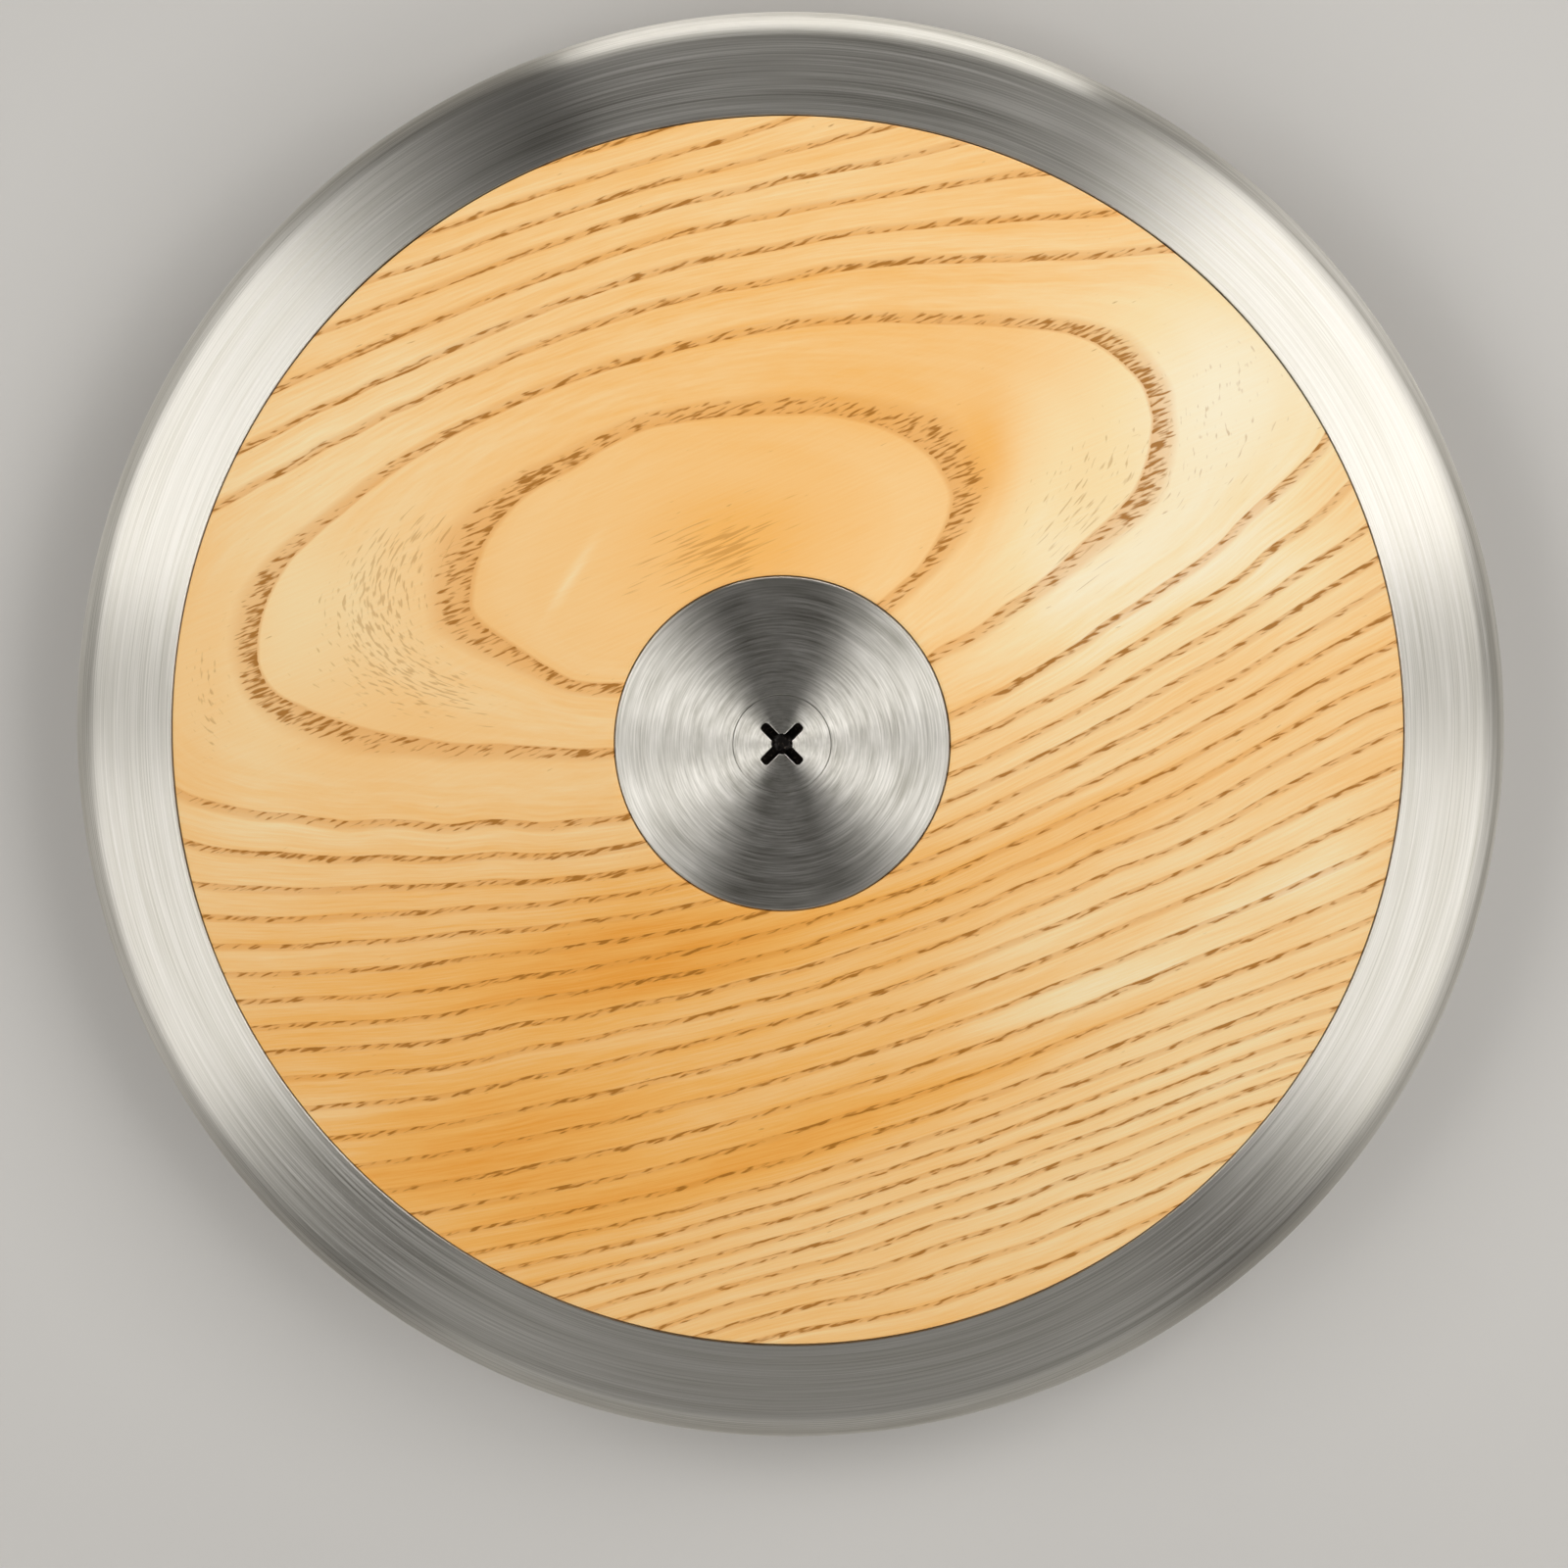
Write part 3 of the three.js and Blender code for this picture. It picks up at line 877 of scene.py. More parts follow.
@dataclass(frozen=True)
class Board:
    """The grain of one wooden side, as the saw lays it open.

    Growth lines are given by points, in millimetres on the face. A thin plate
    bent through them gives the ring's number everywhere else.
    """

    lines: dict[float, list[Point]]
    tints: list[Patch]
    flecks: list[Patch]
    combs: list[Patch]
    base_warmth: float = 0.5
    stiffness: float = 0.0003
    close_rings: float = 8.0  # from this ring on the thin plate is at its stiffest
    probe: float = 0.5
    close_spacing: float = 9.0
    open_spacing: float = 26.0
    widest_spacing: float = 60.0
    fibre_turn: float = math.radians(23)
    plate_size: float = 100.0  # the thin plate's own unit, in millimetres
    batches: int = 16  # parts in which the places are worked out, to spare memory

    @cached_property
    def knots(self) -> tuple[np.ndarray, np.ndarray]:
        """Places on the thin plate and the weights that bend it through the growth lines."""
        places = np.array([p for line in self.lines.values() for p in line]) / self.plate_size
        rings = np.concatenate([np.full(len(p), abs(r)) for r, p in self.lines.items()])
        count = len(places)
        slack = self.stiffness * np.minimum(rings, self.close_rings) ** 2
        kernel = self.kernel(places, places) + np.diag(slack)
        plane = np.c_[np.ones(count), places]
        system = np.block([[kernel, plane], [plane.T, np.zeros((3, 3))]])
        return places, np.linalg.solve(system, np.r_[rings, np.zeros(3)])

    @staticmethod
    def kernel(places: np.ndarray, knots: np.ndarray) -> np.ndarray:
        """Returns how far each knot bends the thin plate at each place."""
        apart = np.linalg.norm(places[:, None] - knots[None], axis=2)
        return apart**2 * np.log(np.maximum(apart, TINY))

    def ring(self, places: np.ndarray) -> np.ndarray:
        """Works out the ring's number.

        Args:
            places: where it is wanted, in millimetres.

        Returns:
            The number at each place.
        """
        knots, weights = self.knots
        rings = []
        for part in np.array_split(places / self.plate_size, self.batches):
            plane = np.c_[np.ones(len(part)), part]
            rings.append(self.kernel(part, knots) @ weights[:-3] + plane @ weights[-3:])
        return np.concatenate(rings)

    @staticmethod
    def patches(places: np.ndarray, rows: list[Patch]) -> np.ndarray:
        """Adds up soft oval patches.

        Args:
            places: where the sum is wanted, in millimetres.
            rows: each patch's centre, long and short radius, turn in degrees and strength.

        Returns:
            The patches' sum at each place.
        """
        total = np.zeros(len(places))
        for x, y, long_radius, short_radius, turn, strength in rows:
            cos, sin = math.cos(math.radians(turn)), math.sin(math.radians(turn))
            away = places - (x, y)
            along = (away[:, 0] * cos + away[:, 1] * sin) / long_radius
            across = (away[:, 1] * cos - away[:, 0] * sin) / short_radius
            total += strength * np.exp(-(along**2 + across**2))
        return total

    def draw_on(self, piece: bpy.types.Object, flip: float) -> None:
        """Stores the grain in a side's vertices.

        Args:
            piece: the side.
            flip: one for the front face, and minus one where the face is seen from below.
        """
        count = len(piece.data.vertices)
        corners = np.empty(count * 3)
        piece.data.vertices.foreach_get("co", corners)
        places = corners.reshape(count, 3)[:, :2] / MM * (1.0, flip)
        x, y = places.T
        ring = self.ring(places)
        slope_x = (self.ring(places + (self.probe, 0)) - ring) / self.probe
        slope_y = (self.ring(places + (0, self.probe)) - ring) / self.probe
        spacing = 1 / np.maximum(np.hypot(slope_x, slope_y), 1 / self.widest_spacing)
        opening = (spacing - self.close_spacing) / (self.open_spacing - self.close_spacing)
        warmth = self.base_warmth + self.patches(places, self.tints)
        cos, sin = math.cos(self.fibre_turn), math.sin(self.fibre_turn)
        along = x * cos + y * sin
        across = y * cos - x * sin
        marks = [self.patches(places, rows) for rows in (self.flecks, self.combs)]
        for kind, columns in (
            (GrainData.RINGS, (ring, np.clip(opening, 0, 1), warmth)),
            (GrainData.FIBRES, (along * MM, across * MM, spacing * MM)),
            (GrainData.MARKS, (*marks, np.zeros(count))),
        ):
            attribute = piece.data.attributes.new(kind.value, "FLOAT_VECTOR", "POINT")
            attribute.data.foreach_set("vector", np.stack(columns, axis=1).ravel())


@dataclass(frozen=True)
class WoodenSides:
    """The two ash sides, each let in for its plate and bored for the trim weights."""

    form: DiscusForm
    front_board: Board
    back_board: Board
    outer_radius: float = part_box(Face.FRONT.node("side"))[1].x
    foot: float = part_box(Face.FRONT.node("side"))[0].z
    recess_radius: float = 25.15 * MM
    recess_floor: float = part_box(Face.FRONT.node("packing_ring"))[1].z
    chamber_radius: float = 19 * MM
    tongue_radius: float = 83.85 * MM
    over_tongue: float = 3.15 * MM
    edge_break: float = 0.25 * MM
    face_cuts: int = 88

    def build(self, finish: bpy.types.Material) -> None:
        """Builds both sides and settles them.

        Args:
            finish: varnished ash.
        """
        form = self.form
        rebate = form.mid_height + self.over_tongue
        radii = np.linspace(self.outer_radius, form.flat_radius, self.face_cuts + 2)
        face = [(radius, form.face_height(radius)) for radius in radii]
        recess_lip = (self.recess_radius, form.wood_top)
        outline = [
            (self.chamber_radius, self.foot),
            (self.tongue_radius, self.foot),
            (self.tongue_radius, rebate),
            (self.outer_radius, rebate),
            *face,
            recess_lip,
            (self.recess_radius, self.recess_floor),
            (self.chamber_radius, self.recess_floor),
        ]
        work = turned("front_ash_side", outline, WIDE_SIDES)
        work.round_rings([face[0], recess_lip], self.edge_break)
        front = work.finish()
        even_shading(front)
        back = copy_turned_over(front, "back_ash_side", form.mid_height)
        self.front_board.draw_on(front, 1.0)
        self.back_board.draw_on(back, -1.0)
        settle(front, Face.FRONT.node("side"), Slot.ASH, finish)
        settle(back, Face.BACK.node("side"), Slot.ASH, finish)


@dataclass(frozen=True)
class CentrePlates:
    """The two steel plates let into the sides, countersunk for their screws."""

    form: DiscusForm
    radius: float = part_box(Face.FRONT.node("centre_plate"))[1].x
    top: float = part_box(Face.FRONT.node("centre_plate"))[1].z
    underside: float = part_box(Face.FRONT.node("centre_plate"))[0].z
    mouth_radius: float = 7.45 * MM
    hole_radius: float = 4.25 * MM
    edge_break: float = 0.3 * MM
    mouth_break: float = 0.05 * MM

    def build(self, finish: bpy.types.Material) -> None:
        """Builds both plates and settles them.

        Args:
            finish: turned stainless steel.
        """
        throat = self.top - (self.mouth_radius - self.hole_radius)
        rim = (self.radius, self.top)
        mouth = (self.mouth_radius, self.top)
        under = [(self.hole_radius, self.underside), (self.radius, self.underside)]
        outline = [*under, rim, mouth, (self.hole_radius, throat)]
        work = turned("front_steel_plate", outline, PLATE_SIDES)
        work.round_rings([rim], self.edge_break)
        work.round_rings([mouth], self.mouth_break, segments=2)
        front = work.finish()
        even_shading(front)
        back = copy_turned_over(front, "back_steel_plate", self.form.mid_height)
        settle(front, Face.FRONT.node("centre_plate"), Slot.STAINLESS, finish)
        settle(back, Face.BACK.node("centre_plate"), Slot.STAINLESS, finish)


@dataclass(frozen=True)
class CentreScrews:
    """The two countersunk screws: threaded shanks with heads ground flush with the plates."""

    form: DiscusForm
    head_radius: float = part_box(Face.FRONT.node("centre_screw"))[1].x
    top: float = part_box(Face.FRONT.node("centre_screw"))[1].z
    shank_radius: float = 3.95 * MM
    head_break: float = 0.06 * MM
    cut_below_head: float = 0.35 * MM
    tenon_length: float = 0.3 * MM
    tenon_radius: float = 3 * MM
    recess_span: float = 8.2 * MM
    recess_foot_span: float = 3 * MM
    arm_width: float = 1.45 * MM
    arm_end_round: float = 0.5 * MM
    arm_end_flats: int = 5
    core_radius: float = 1.7 * MM
    core_foot_radius: float = 0.8 * MM
    recess_depth: float = 3.9 * MM
    mouth_break: float = 0.1 * MM
    wall_normal: float = 0.7  # the recess's walls have normals that are lower than this
    overrun: float = 0.5 * MM  # how far a cutter stands above the head

    def build(self, finish: bpy.types.Material, recess_shade_paint: bpy.types.Material) -> None:
        """Builds both screws and settles them.

        Args:
            finish: turned stainless steel.
            recess_shade_paint: painted shade with painted glints, for the recess.
        """
        front = self.head()
        shank = self.shank()
        apply_modifier(front, "BOOLEAN", operation="UNION", object=shank, solver="MANIFOLD")
        bpy.data.objects.remove(shank)
        for cutter in self.recess_cutters():
            settings = {"operation": "DIFFERENCE", "object": cutter, "solver": "MANIFOLD"}
            apply_modifier(front, "BOOLEAN", **settings)
            bpy.data.objects.remove(cutter)
        self.soften_recess(front)
        bpy.ops.object.shade_smooth_by_angle(angle=SMOOTH_ANGLE)
        even_shading(front)
        front.data.materials.clear()
        front.data.materials.append(finish)
        # second slot: the recess's painted shade and painted glints
        front.data.materials.append(recess_shade_paint)
        self.paint_recess_shade(front)
        back = copy_turned_over(front, "back_countersunk_screw", self.form.mid_height)
        slot = Slot.STAINLESS
        settle(front, Face.FRONT.node("centre_screw"), slot, finish, recess_shade_paint)
        settle(back, Face.BACK.node("centre_screw"), slot, finish, recess_shade_paint)

    def head(self) -> bpy.types.Object:
        """Turns the head.

        Returns:
            The head, with a short tenon for the shank.
        """
        under_head = self.top - (self.head_radius - self.shank_radius)
        cut = under_head - self.cut_below_head
        foot = cut - self.tenon_length
        outline = [
            (0, foot),
            (self.tenon_radius, foot),
            (self.tenon_radius, cut),
            (self.shank_radius, under_head),
            (self.head_radius, self.top),
            (0, self.top),
        ]
        work = turned("front_countersunk_screw", outline, SMALL_SIDES)
        work.round_rings([(self.head_radius, self.top)], self.head_break, segments=2)
        return work.finish()

    def shank(self) -> bpy.types.Object:
        """Copies the CAD screw and cuts off its head.

        Returns:
            The threaded shank.
        """
        hold(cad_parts[Face.FRONT.node("centre_screw")])
        bpy.ops.object.duplicate(linked=False)
        shank = bpy.context.object
        cut = self.top - (self.head_radius - self.shank_radius) - self.cut_below_head
        bpy.ops.object.mode_set(mode="EDIT")
        weld()
        plane = {"plane_co": (0, 0, cut), "plane_no": (0, 0, 1)}
        bpy.ops.mesh.bisect(**plane, clear_outer=True, use_fill=True)
        bpy.ops.mesh.select_all(action="SELECT")
        bpy.ops.mesh.normals_make_consistent(inside=False)
        bpy.ops.object.mode_set(mode="OBJECT")
        return shank

    def recess_cutters(self) -> list[bpy.types.Object]:
        """Makes what the cross recess is cut with.

        Returns:
            The tapered core and the two tapered arms.
        """
        depth = self.recess_depth + self.overrun
        middle = self.top + self.overrun - depth / 2
        flare = (self.recess_span - self.recess_foot_span) / self.recess_depth
        wide_span = self.recess_span + flare * self.overrun
        bpy.ops.object.select_all(action="DESELECT")
        radii = {"radius1": self.core_foot_radius, "radius2": self.core_radius}
        place = {"depth": depth, "location": (0, 0, middle)}
        bpy.ops.mesh.primitive_cone_add(vertices=SMALL_SIDES // 2, **radii, **place)
        cutters = [bpy.context.object]
        for turn in (math.pi / 4, -math.pi / 4):
            bpy.ops.object.select_all(action="DESELECT")
            bpy.ops.mesh.primitive_cube_add(size=1, location=(0, 0, middle))
            arm = bpy.context.object
            bpy.ops.object.mode_set(mode="EDIT")
            bpy.ops.transform.resize(value=(wide_span, self.arm_width, depth))
            pick(arm, "FACE", lambda face: face.normal.z < LOOKS_DOWN)
            bpy.ops.transform.resize(value=(self.recess_foot_span / wide_span, 1, 1))
            pick(arm, "EDGE", lambda e: abs(e.verts[0].co.z - e.verts[1].co.z) > depth / 2)
            rounding = {"offset": self.arm_end_round, "segments": self.arm_end_flats}
            bpy.ops.mesh.bevel(**rounding, affect="EDGES")
            bpy.ops.mesh.select_all(action="SELECT")
            pivot = {"center_override": (0, 0, middle)}
            bpy.ops.transform.rotate(value=turn, orient_axis="Z", **pivot)
            bpy.ops.object.mode_set(mode="OBJECT")
            cutters.append(arm)
        return cutters

    def soften_recess(self, screw: bpy.types.Object) -> None:
        """Bevels the recess's mouth, which catches the light.

        Args:
            screw: the screw.
        """
        reach = self.recess_span / 2 + self.overrun

        def at_mouth(edge: bmesh.types.BMEdge) -> bool:
            """Says whether an edge lies between the head's face and a wall of the recess."""
            near = all(
                math.hypot(end.co.x, end.co.y) < reach and abs(end.co.z - self.top) < REACH
                for end in edge.verts
            )
            return near and min(face.normal.z for face in edge.link_faces) < self.wall_normal

        bpy.ops.object.mode_set(mode="EDIT")
        pick(screw, "EDGE", at_mouth)
        bpy.ops.mesh.bevel(offset=self.mouth_break, segments=2, affect="EDGES")
        bpy.ops.object.mode_set(mode="OBJECT")

    def paint_recess_shade(self, screw: bpy.types.Object) -> None:
        """Gives the recess's faces below its bright mouth the second finish, which is painted shade
        with painted glints.

        Args:
            screw: the screw.
        """
        reach = self.recess_span / 2 + REACH
        floor = self.top - self.recess_depth - REACH
        for face in screw.data.polygons:
            centre = face.center
            inside = math.hypot(centre.x, centre.y) < reach and centre.z > floor
            below = centre.z < self.top - self.mouth_break
            face.material_index = 1 if inside and below else 0


@dataclass(frozen=True)
class Studio:
    """The pale floor, the soft lamps and the camera over the front face."""

    form: DiscusForm
    distance: float = 0.7
    lean_x: float = math.radians(1.9)
    lean_y: float = math.radians(4.2)
    aim: tuple[float, float] = (-0.45 * MM, -7.9 * MM)
    lens: float = 104.2
    sensor_width: float = 36.0
    nearest: float = 0.05
    furthest: float = 20.0
    floor_size: float = 4.0
    floor_colour: str = "#c6c3be"
    floor_roughness: float = 0.85

    def build(self) -> None:
        """Sets the floor, world, lamps, camera and view."""
        bpy.context.scene.view_settings.view_transform = "Standard"
        self.build_floor()
        self.build_world()
        for lamp in SOFTBOXES:
            lamp.build()
        self.build_camera()

    def build_floor(self) -> None:
        """Lays the floor that the back plate rests on."""
        bpy.ops.object.select_all(action="DESELECT")
        bpy.ops.mesh.primitive_plane_add(size=self.floor_size, location=(0, 0, 0))
        floor = bpy.context.object
        floor.name = "studio_floor"
        material, add = new_material("painted_studio_floor")
        paint = {"Base Color": self.floor_colour, "Roughness": self.floor_roughness}
        add("OutputMaterial", {"Surface": add("BsdfPrincipled", paint)})
        floor.data.materials.append(material)

    def build_world(self) -> None:
        """Makes a dim sky that is darkest overhead."""
        world = bpy.data.worlds.new("studio_world")
        bpy.context.scene.world = world
        world.use_nodes = True
        world.node_tree.nodes.clear()
        add = partial(add_node, world.node_tree)
        place = add("TexCoord").outputs["Generated"]
        height = add("SeparateXYZ", {0: place}).outputs["Z"]
        tones = {0.0: "#8c8a86", 0.4: "#4c4a48", 0.75: "#262524", 1.0: "#1c1b1a"}
        sky = add("ValToRGB", {0: height}, tones)
        add("OutputWorld", {"Surface": add("Background", {"Color": sky, "Strength": 1.0})})

    def build_camera(self) -> None:
        """Puts the camera over the front face, a little to the right of and above its middle."""
        middle = Vector((0, 0, self.form.mid_height))
        lean = Vector((math.sin(self.lean_x), math.sin(self.lean_y), 0))
        lean.z = math.sqrt(1 - lean.length_squared)
        place = middle + self.distance * lean
        target = middle + Vector((*self.aim, 0))
        back = (place - target).normalized()
        right = Vector((0, 1, 0)).cross(back).normalized()
        turn = Matrix((right, back.cross(right), back)).transposed()
        bpy.ops.object.camera_add(location=place, rotation=turn.to_euler())
        camera = bpy.context.object
        camera.data.lens = self.lens
        camera.data.sensor_width = self.sensor_width
        camera.data.clip_start = self.nearest
        camera.data.clip_end = self.furthest
        bpy.context.scene.camera = camera


@dataclass(frozen=True)
class Softbox:
    """A flat lamp that faces the discus.

    Azimuth runs anticlockwise from +X and elevation up from the floor, in degrees.
    """

    name: str
    azimuth: float
    width: float
    radiance: float
    height: float = 0.56
    elevation: float = 54
    distance: float = 0.9

    def build(self) -> None:
        """Hangs the lamp."""
        azimuth, elevation = math.radians(self.azimuth), math.radians(self.elevation)
        flat = math.cos(elevation)
        away = Vector((flat * math.cos(azimuth), flat * math.sin(azimuth), math.sin(elevation)))
        facing = away.to_track_quat("Z", "Y").to_euler()
        bpy.ops.object.light_add(type="AREA", location=away * self.distance, rotation=facing)
        lamp = bpy.context.object
        lamp.name = self.name
        lamp.data.shape = "RECTANGLE"
        lamp.data.size = self.width
        lamp.data.size_y = self.height
        lamp.data.energy = self.radiance * math.pi * self.width * self.height


SOFTBOXES = [
    Softbox("right_upper_softbox", 31, width=0.46, radiance=4.1),
    Softbox("right_lower_softbox", -23, width=0.38, radiance=2.8),
    Softbox("left_upper_softbox", 157, width=0.38, radiance=3.3),
    Softbox("left_lower_softbox", 202, width=0.33, radiance=2.6),
    Softbox("front_fill", 270, width=0.9, radiance=1.0, height=0.5, elevation=34),
    Softbox("back_strip", 88, width=1.0, radiance=9.0, height=0.24, elevation=7, distance=1.2),
]

# Growth lines by ring, counted outwards from the heart. A minus marks the rings below it.
FRONT_LINES: dict[float, list[Point]] = {
    0.35: [(-10, 30)],
    0.5: [(-30, 28), (10, 35)],
    1: [(-26, 9), (-31.7, 9.5), (-35, 11.3), (-39.7, 14.1), (-44.4, 17.1), (-46.9, 19.5),
        (-46.7, 23), (-45.8, 27.5), (-44, 31.2), (-42.4, 33.2), (-37.9, 37.4), (-31.4, 41),
        (-20, 47), (-10, 48.5), (0, 49), (8, 48.8), (13.4, 47.5), (18.4, 45.4), (24, 40),
        (25.3, 36), (24, 32), (20, 26), (13, 20), (-5, 12)],
    2: [(-26, -0.3), (-35, -0.4), (-43, -0.2), (-55, 0.6), (-66, 2.5), (-73, 5), (-79, 9),
        (-80, 15), (-78, 22), (-73, 29), (-67.5, 33.5), (-60, 39.5), (-50, 45.6), (-40, 50.4),
        (-30, 54.4), (-20, 57.1), (-10, 59.8), (0, 61.6), (10, 62.4), (20, 62.5), (30, 62.2),
        (40, 61.5), (44, 60.8), (48.8, 57.9), (52.4, 55), (54.9, 51.3), (55.4, 48), (55, 44.5),
        (54, 41), (52.5, 37.5), (50, 34.9), (45, 30.3), (40, 25.7), (32.7, 20.7), (23, 14.6)],
    2.23: [(60.5, 50), (61, 44)],
    2.5: [(68, 50)],
    3: [(-87, 34.4), (-80, 38.6), (-70, 43.9), (-60, 49), (-50, 53.6), (-40, 58.1), (-30, 61.7),
        (-20, 65), (-10, 67.4), (2, 69.6), (10, 71.1), (20, 71.9), (30, 72), (40, 72.4), (50, 73),
        (57, 73.5)],
    4: [(-84, 41.5), (-76.5, 45.6), (-66, 50.5), (-57, 54.5), (-49, 58.2), (-40, 62), (-30, 66.1),
        (-20, 69.1), (-11, 71.3), (0, 73), (10, 75), (20, 76.1), (30, 77), (40, 77.6), (50, 77.8)],
    5: [(-78, 52), (-70, 55.7), (-60, 59.9), (-50, 63.6), (-40, 67.5), (-30, 70.9), (-23, 73.6),
        (-15, 75.8), (-5, 77.8), (5, 79.7), (15, 81.4), (25, 83.1), (35, 84.7)],
    6: [(-71, 61), (-60.5, 65.5), (-50, 69.8), (-40, 73.5), (-29, 77.1), (-19, 80.3), (-10, 82.3),
        (0, 84.6), (9, 85.9), (15, 87.2), (26, 89.4)],
    7: [(-66, 67), (-54, 71.3), (-45, 74.8), (-35, 78.1), (-25, 81.5), (-15, 84.1), (-5, 86),
        (3, 88), (15, 90)],
    8: [(-54, 75), (-49.4, 76.4), (-40, 79.9), (-30, 82.8), (-20, 85.7), (-10, 88.5)],
    9: [(-35, 87), (-29, 88.3), (-25, 89.5)],
    -3: [(-92, -9), (-80, -11.7), (-66, -13), (-50, -13.2), (-36, -12.6), (-24, -11.5),
         (25, 4.2), (33.4, 8.1), (38.6, 11.5), (45, 15.3), (52.9, 20.6), (60, 25.3), (66, 30.1),
         (71.3, 35.5), (75.2, 38.9), (81, 43.9)],
    -4: [(-92, -15.4), (-77, -16.9), (-61, -17.2), (-44, -16.3), (-24, -14.5), (26, 0.9),
         (36, 5.8), (50, 13.9), (61, 21.1), (72, 29.1), (84, 39)],
    -5: [(-90, -23), (-75, -23.4), (-53, -22.1), (-36, -20.8), (-24, -19.3), (26, -4),
         (42, 3.7), (50, 8.3), (66, 16.8), (73, 21.5), (87, 31)],
    -6: [(-88, -27.6), (-66, -26.9), (-49, -25.2), (-31, -23.2), (-17, -21.2), (26, -7.6),
         (41, -0.2), (52, 5.2), (69, 15.6), (89, 27)],
    -7: [(-87, -31.3), (-66, -30.2), (-49, -28.2), (-29, -26.3), (-13, -23.6), (26, -10.9),
         (37, -5.7), (48, 0.3), (61, 7.1), (74, 14.7), (89, 23.6)],
    -8: [(-85, -36.7), (-65, -35.2), (-49, -33), (-34, -31.3), (-20, -28.6), (-6, -25.8),
         (26, -15.2), (46, -6.1), (61, 1.8), (69, 5.8), (91, 19)],
    -9: [(-83, -40.6), (-64, -39.7), (-49, -37.8), (-30, -34.5), (-11, -31), (5, -26.4),
         (17, -22.5), (27, -18.8), (40, -12.9), (57, -4.8), (72, 3.2), (91, 14.3)],
    -10: [(-80, -45), (-62, -44.1), (-47, -41.5), (-30, -38.6), (-11, -34.7), (3, -30.8),
          (18, -26), (26, -22.9), (42, -16.2), (53, -11), (70, -2.3), (91, 8.5)],
    -11: [(-79, -48.6), (-57, -46.6), (-38, -42.8), (-25, -40.1), (-11, -36.9), (8, -31.9),
          (22, -26.9), (34, -22), (49, -15.4), (69, -5.7), (92, 5.8)],
    -12: [(-77, -51), (-62, -49.3), (-40, -44.8), (-24, -41.9), (-6, -37.6), (10, -33.3),
          (21, -29.2), (35, -23.8), (48, -17.9), (74, -5.6), (90, 2.3)],
    -13: [(-72, -57.3), (-56, -55.4), (-42, -52.5), (-30, -49.9), (-16, -46.2), (0, -42.1),
          (15, -37.3), (26, -33), (42, -27.1), (59, -20.1), (77, -12), (92, -4.8)],
    -14: [(-68, -61.9), (-53, -59.5), (-38, -56.4), (-24, -53), (-6, -48.2), (8, -43.9),
          (21, -39.7), (31, -36), (47, -29.5), (63, -22.8), (79, -15.9), (92, -10.1)],
    -15: [(-64, -66), (-51, -63.2), (-34, -58.9), (-15, -54.5), (0, -50.4), (12, -46.8),
          (26, -42.1), (40, -36.7), (61, -27.9), (80, -19.9), (91, -15.2)],
    -16: [(-50, -68.3), (-30, -63.8), (-13, -59.5), (0, -56), (17, -50.5), (36, -43.5),
          (54, -36.5), (73, -29), (89, -22.9)],
    -17: [(-30, -67.2), (-15, -63.4), (0, -59), (12, -55.3), (26, -50.8), (41, -45.7),
          (57, -39.3), (75, -32.4), (87, -28)],
    -18: [(-30, -73.1), (-16, -69.4), (3, -64), (18, -59), (32, -54.2), (45, -49.1),
          (60, -43), (75, -37.6), (86, -33.7)],
    -19: [(-30, -75), (-11, -70.5), (6, -65.5), (22, -60), (34, -55.9), (45, -51.5),
          (62, -45.1), (80, -38.5)],
    -20: [(-30, -79.8), (-18, -76.5), (0, -71.4), (15, -66.4), (29, -61.9), (43, -56.8),
          (59, -50.8), (73, -45.4), (83, -42)],
    -21: [(-30, -81.6), (-17, -78.3), (9, -70.2), (24, -65.3), (42, -58.7), (56, -53.5),
          (68, -49), (81, -44.2)],
    -22: [(-30, -84.6), (-10, -78.9), (11, -72.5), (29, -66.5), (43, -61.2), (59, -55.3),
          (78, -47.8)],
    -23: [(-25, -86), (-4, -79.8), (13, -74.2), (28, -69), (44, -63.3), (60, -57.3),
          (77, -50.8)],
    -24: [(-16, -86.3), (2, -80.9), (19, -75.3), (31, -71.3), (44, -66.7), (59, -61.1),
          (73, -55.6)],
    -25: [(-8, -86.3), (5, -82.2), (23, -76), (43, -69), (60, -62.7), (71, -58.3)],
    -26: [(12, -86.3), (24, -82), (38, -77), (57, -70)],
    -27: [(23, -88.2), (43, -81)],
}

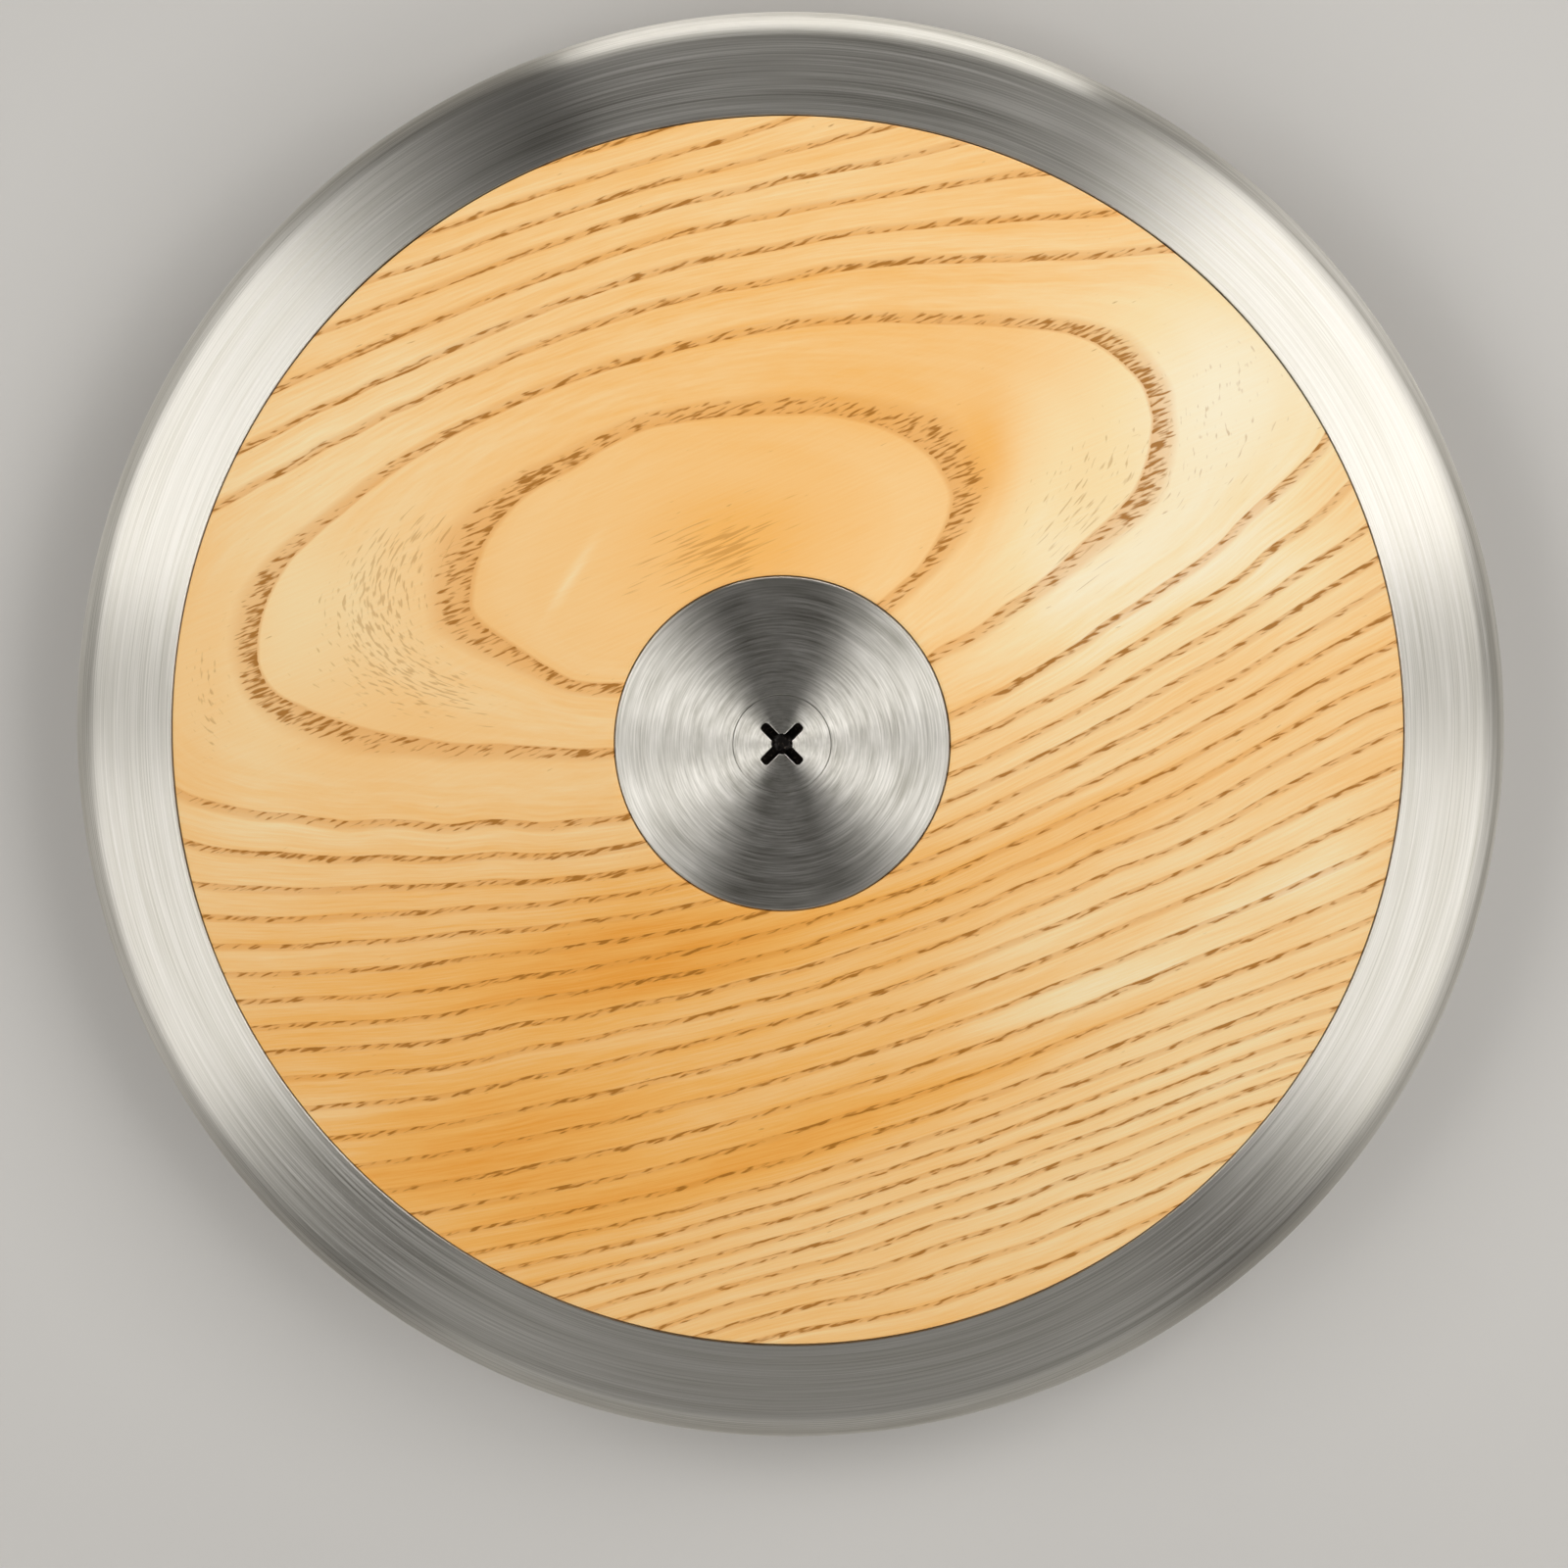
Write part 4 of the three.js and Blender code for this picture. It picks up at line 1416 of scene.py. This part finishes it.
# Patches, as Board.patches takes them
FRONT_TINTS: list[Patch] = [
    (-22, -33, 40, 9, 14, 0.4),
    (-45, -62, 26, 10, 13, 0.36),
    (5, -60, 36, 4, 20, 0.26),
    (-6, 30, 16, 9, 12, 0.2),
    (6, 53, 32, 10, 8, 0.16),
    (0, -58, 34, 14, 12, 0.08),
    (-44, -76, 26, 8, 0, 0.08),
    (38, 30, 8, 12, 30, -0.14),
    (38, -30, 12, 8, 20, -0.12),
    (68, -16, 18, 9, 20, -0.1),
    (84, -20, 8, 10, 0, -0.14),
    (64, 52, 26, 18, 20, -0.44),
    (50, 22, 22, 13, 25, -0.34),
    (74, 26, 12, 10, 0, -0.22),
    (-74, 22, 12, 18, 0, -0.2),
    (-80, 0, 8, 20, 0, -0.12),
    (-64, 48, 18, 9, 30, -0.14),
    (-28, -24, 14, 6, 10, 0.08),
    (-74, -42, 18, 14, 0, 0.12),
    (-34, -74, 20, 8, 10, 0.12),
    (-56, -24, 30, 7, 0, 0.06),
    (4, -44, 36, 8, 12, 0.08),
    (50, -12, 26, 18, 25, -0.06),
    (68, -48, 24, 16, 20, -0.16),
    (43, -14, 22, 4, 24, 0.22),
    (48, -37, 18, 2.5, 22, -0.22),
    (76, -22.5, 16, 2, 20, -0.28),
    (42, -68, 30, 12, 20, -0.12),
    (31, 43, 5, 10, 0, 0.28),
    (-31.5, 25, 6, 0.7, 58, -0.22),
]

FRONT_FLECKS: list[Patch] = [
    (-62, 18, 10, 16, -5, 0.85),
    (-50, 7, 10, 5, -20, 0.7),
    (-54, 31, 10, 5, 30, 0.5),
    (-88, 6, 4, 12, 0, 0.7),
    (44, 34, 9, 16, -20, 0.68),
    (66, 48, 11, 20, -25, 0.55),
]

FRONT_COMBS: list[Patch] = [(-10, 29, 14, 6, 18, 1.1)]

BACK_LINES: dict[float, list[Point]] = {
    2: [(-90, 6), (-60, 8), (-30, 10), (0, 9), (22, 3), (0, -4), (-30, -8), (-60, -8), (-90, -7)],
    4: [(-85, 22), (-55, 25), (-20, 28), (15, 26), (44, 17), (56, 7), (48, -4), (22, -14),
        (-12, -21), (-50, -22), (-88, -20)],
    6: [(-80, 38), (-50, 42), (-12, 45), (26, 42), (58, 31), (80, 14), (88, 4), (80, -8),
        (52, -23), (16, -33), (-26, -38), (-84, -35)],
    8: [(-72, 55), (-40, 59), (0, 61), (40, 56), (78, 42)],
    -8: [(84, -30), (50, -42), (8, -51), (-36, -54), (-76, -51)],
    11: [(-46, 79), (0, 81), (44, 76)],
    -11: [(62, -62), (20, -72), (-24, -76), (-50, -75)],
}

BACK_TINTS: list[Patch] = [
    (-50, 10, 40, 20, 0, 0.2),
    (40, -50, 40, 20, 20, 0.3),
    (50, 55, 30, 20, -20, -0.2),
    (-60, -60, 30, 20, 0, -0.15),
]

BACK_FLECKS: list[Patch] = [(38, 8, 14, 12, 0, 0.8), (70, 6, 12, 14, 0, 0.7)]

BACK_COMBS: list[Patch] = [(-62, 0, 12, 4, 5, 0.8)]


def dress_inner_pieces() -> None:
    """Gives the pieces inside the discus, whose CAD shapes are right, their own finishes."""
    for word, finish in INNER_FINISHES.items():
        material = finish.material()
        for name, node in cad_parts.items():
            if word in name:
                node.data.materials.clear()
                node.data.materials.append(material)
                log.info("%s: %s", name, material.name)


def main() -> None:
    """Builds the discus and its studio."""
    logging.basicConfig(level=logging.INFO, format="%(name)s: %(message)s")
    form = DiscusForm()
    stainless = TurnedStainless("turned_stainless_steel", form.mid_height).material()
    ash = VarnishedAsh("satin_varnished_ash").material()
    # painted shade with painted glints, for the screws' recesses
    recess = PaintedRecessShade("recess_painted_shade_and_glints").material()
    front_board = Board(FRONT_LINES, FRONT_TINTS, FRONT_FLECKS, FRONT_COMBS)
    back_board = Board(BACK_LINES, BACK_TINTS, BACK_FLECKS, BACK_COMBS)
    Rim(form).build(stainless)
    WoodenSides(form, front_board, back_board).build(ash)
    CentrePlates(form).build(stainless)
    CentreScrews(form).build(stainless, recess)
    dress_inner_pieces()
    Studio(form).build()


if __name__ == "__main__":
    main()
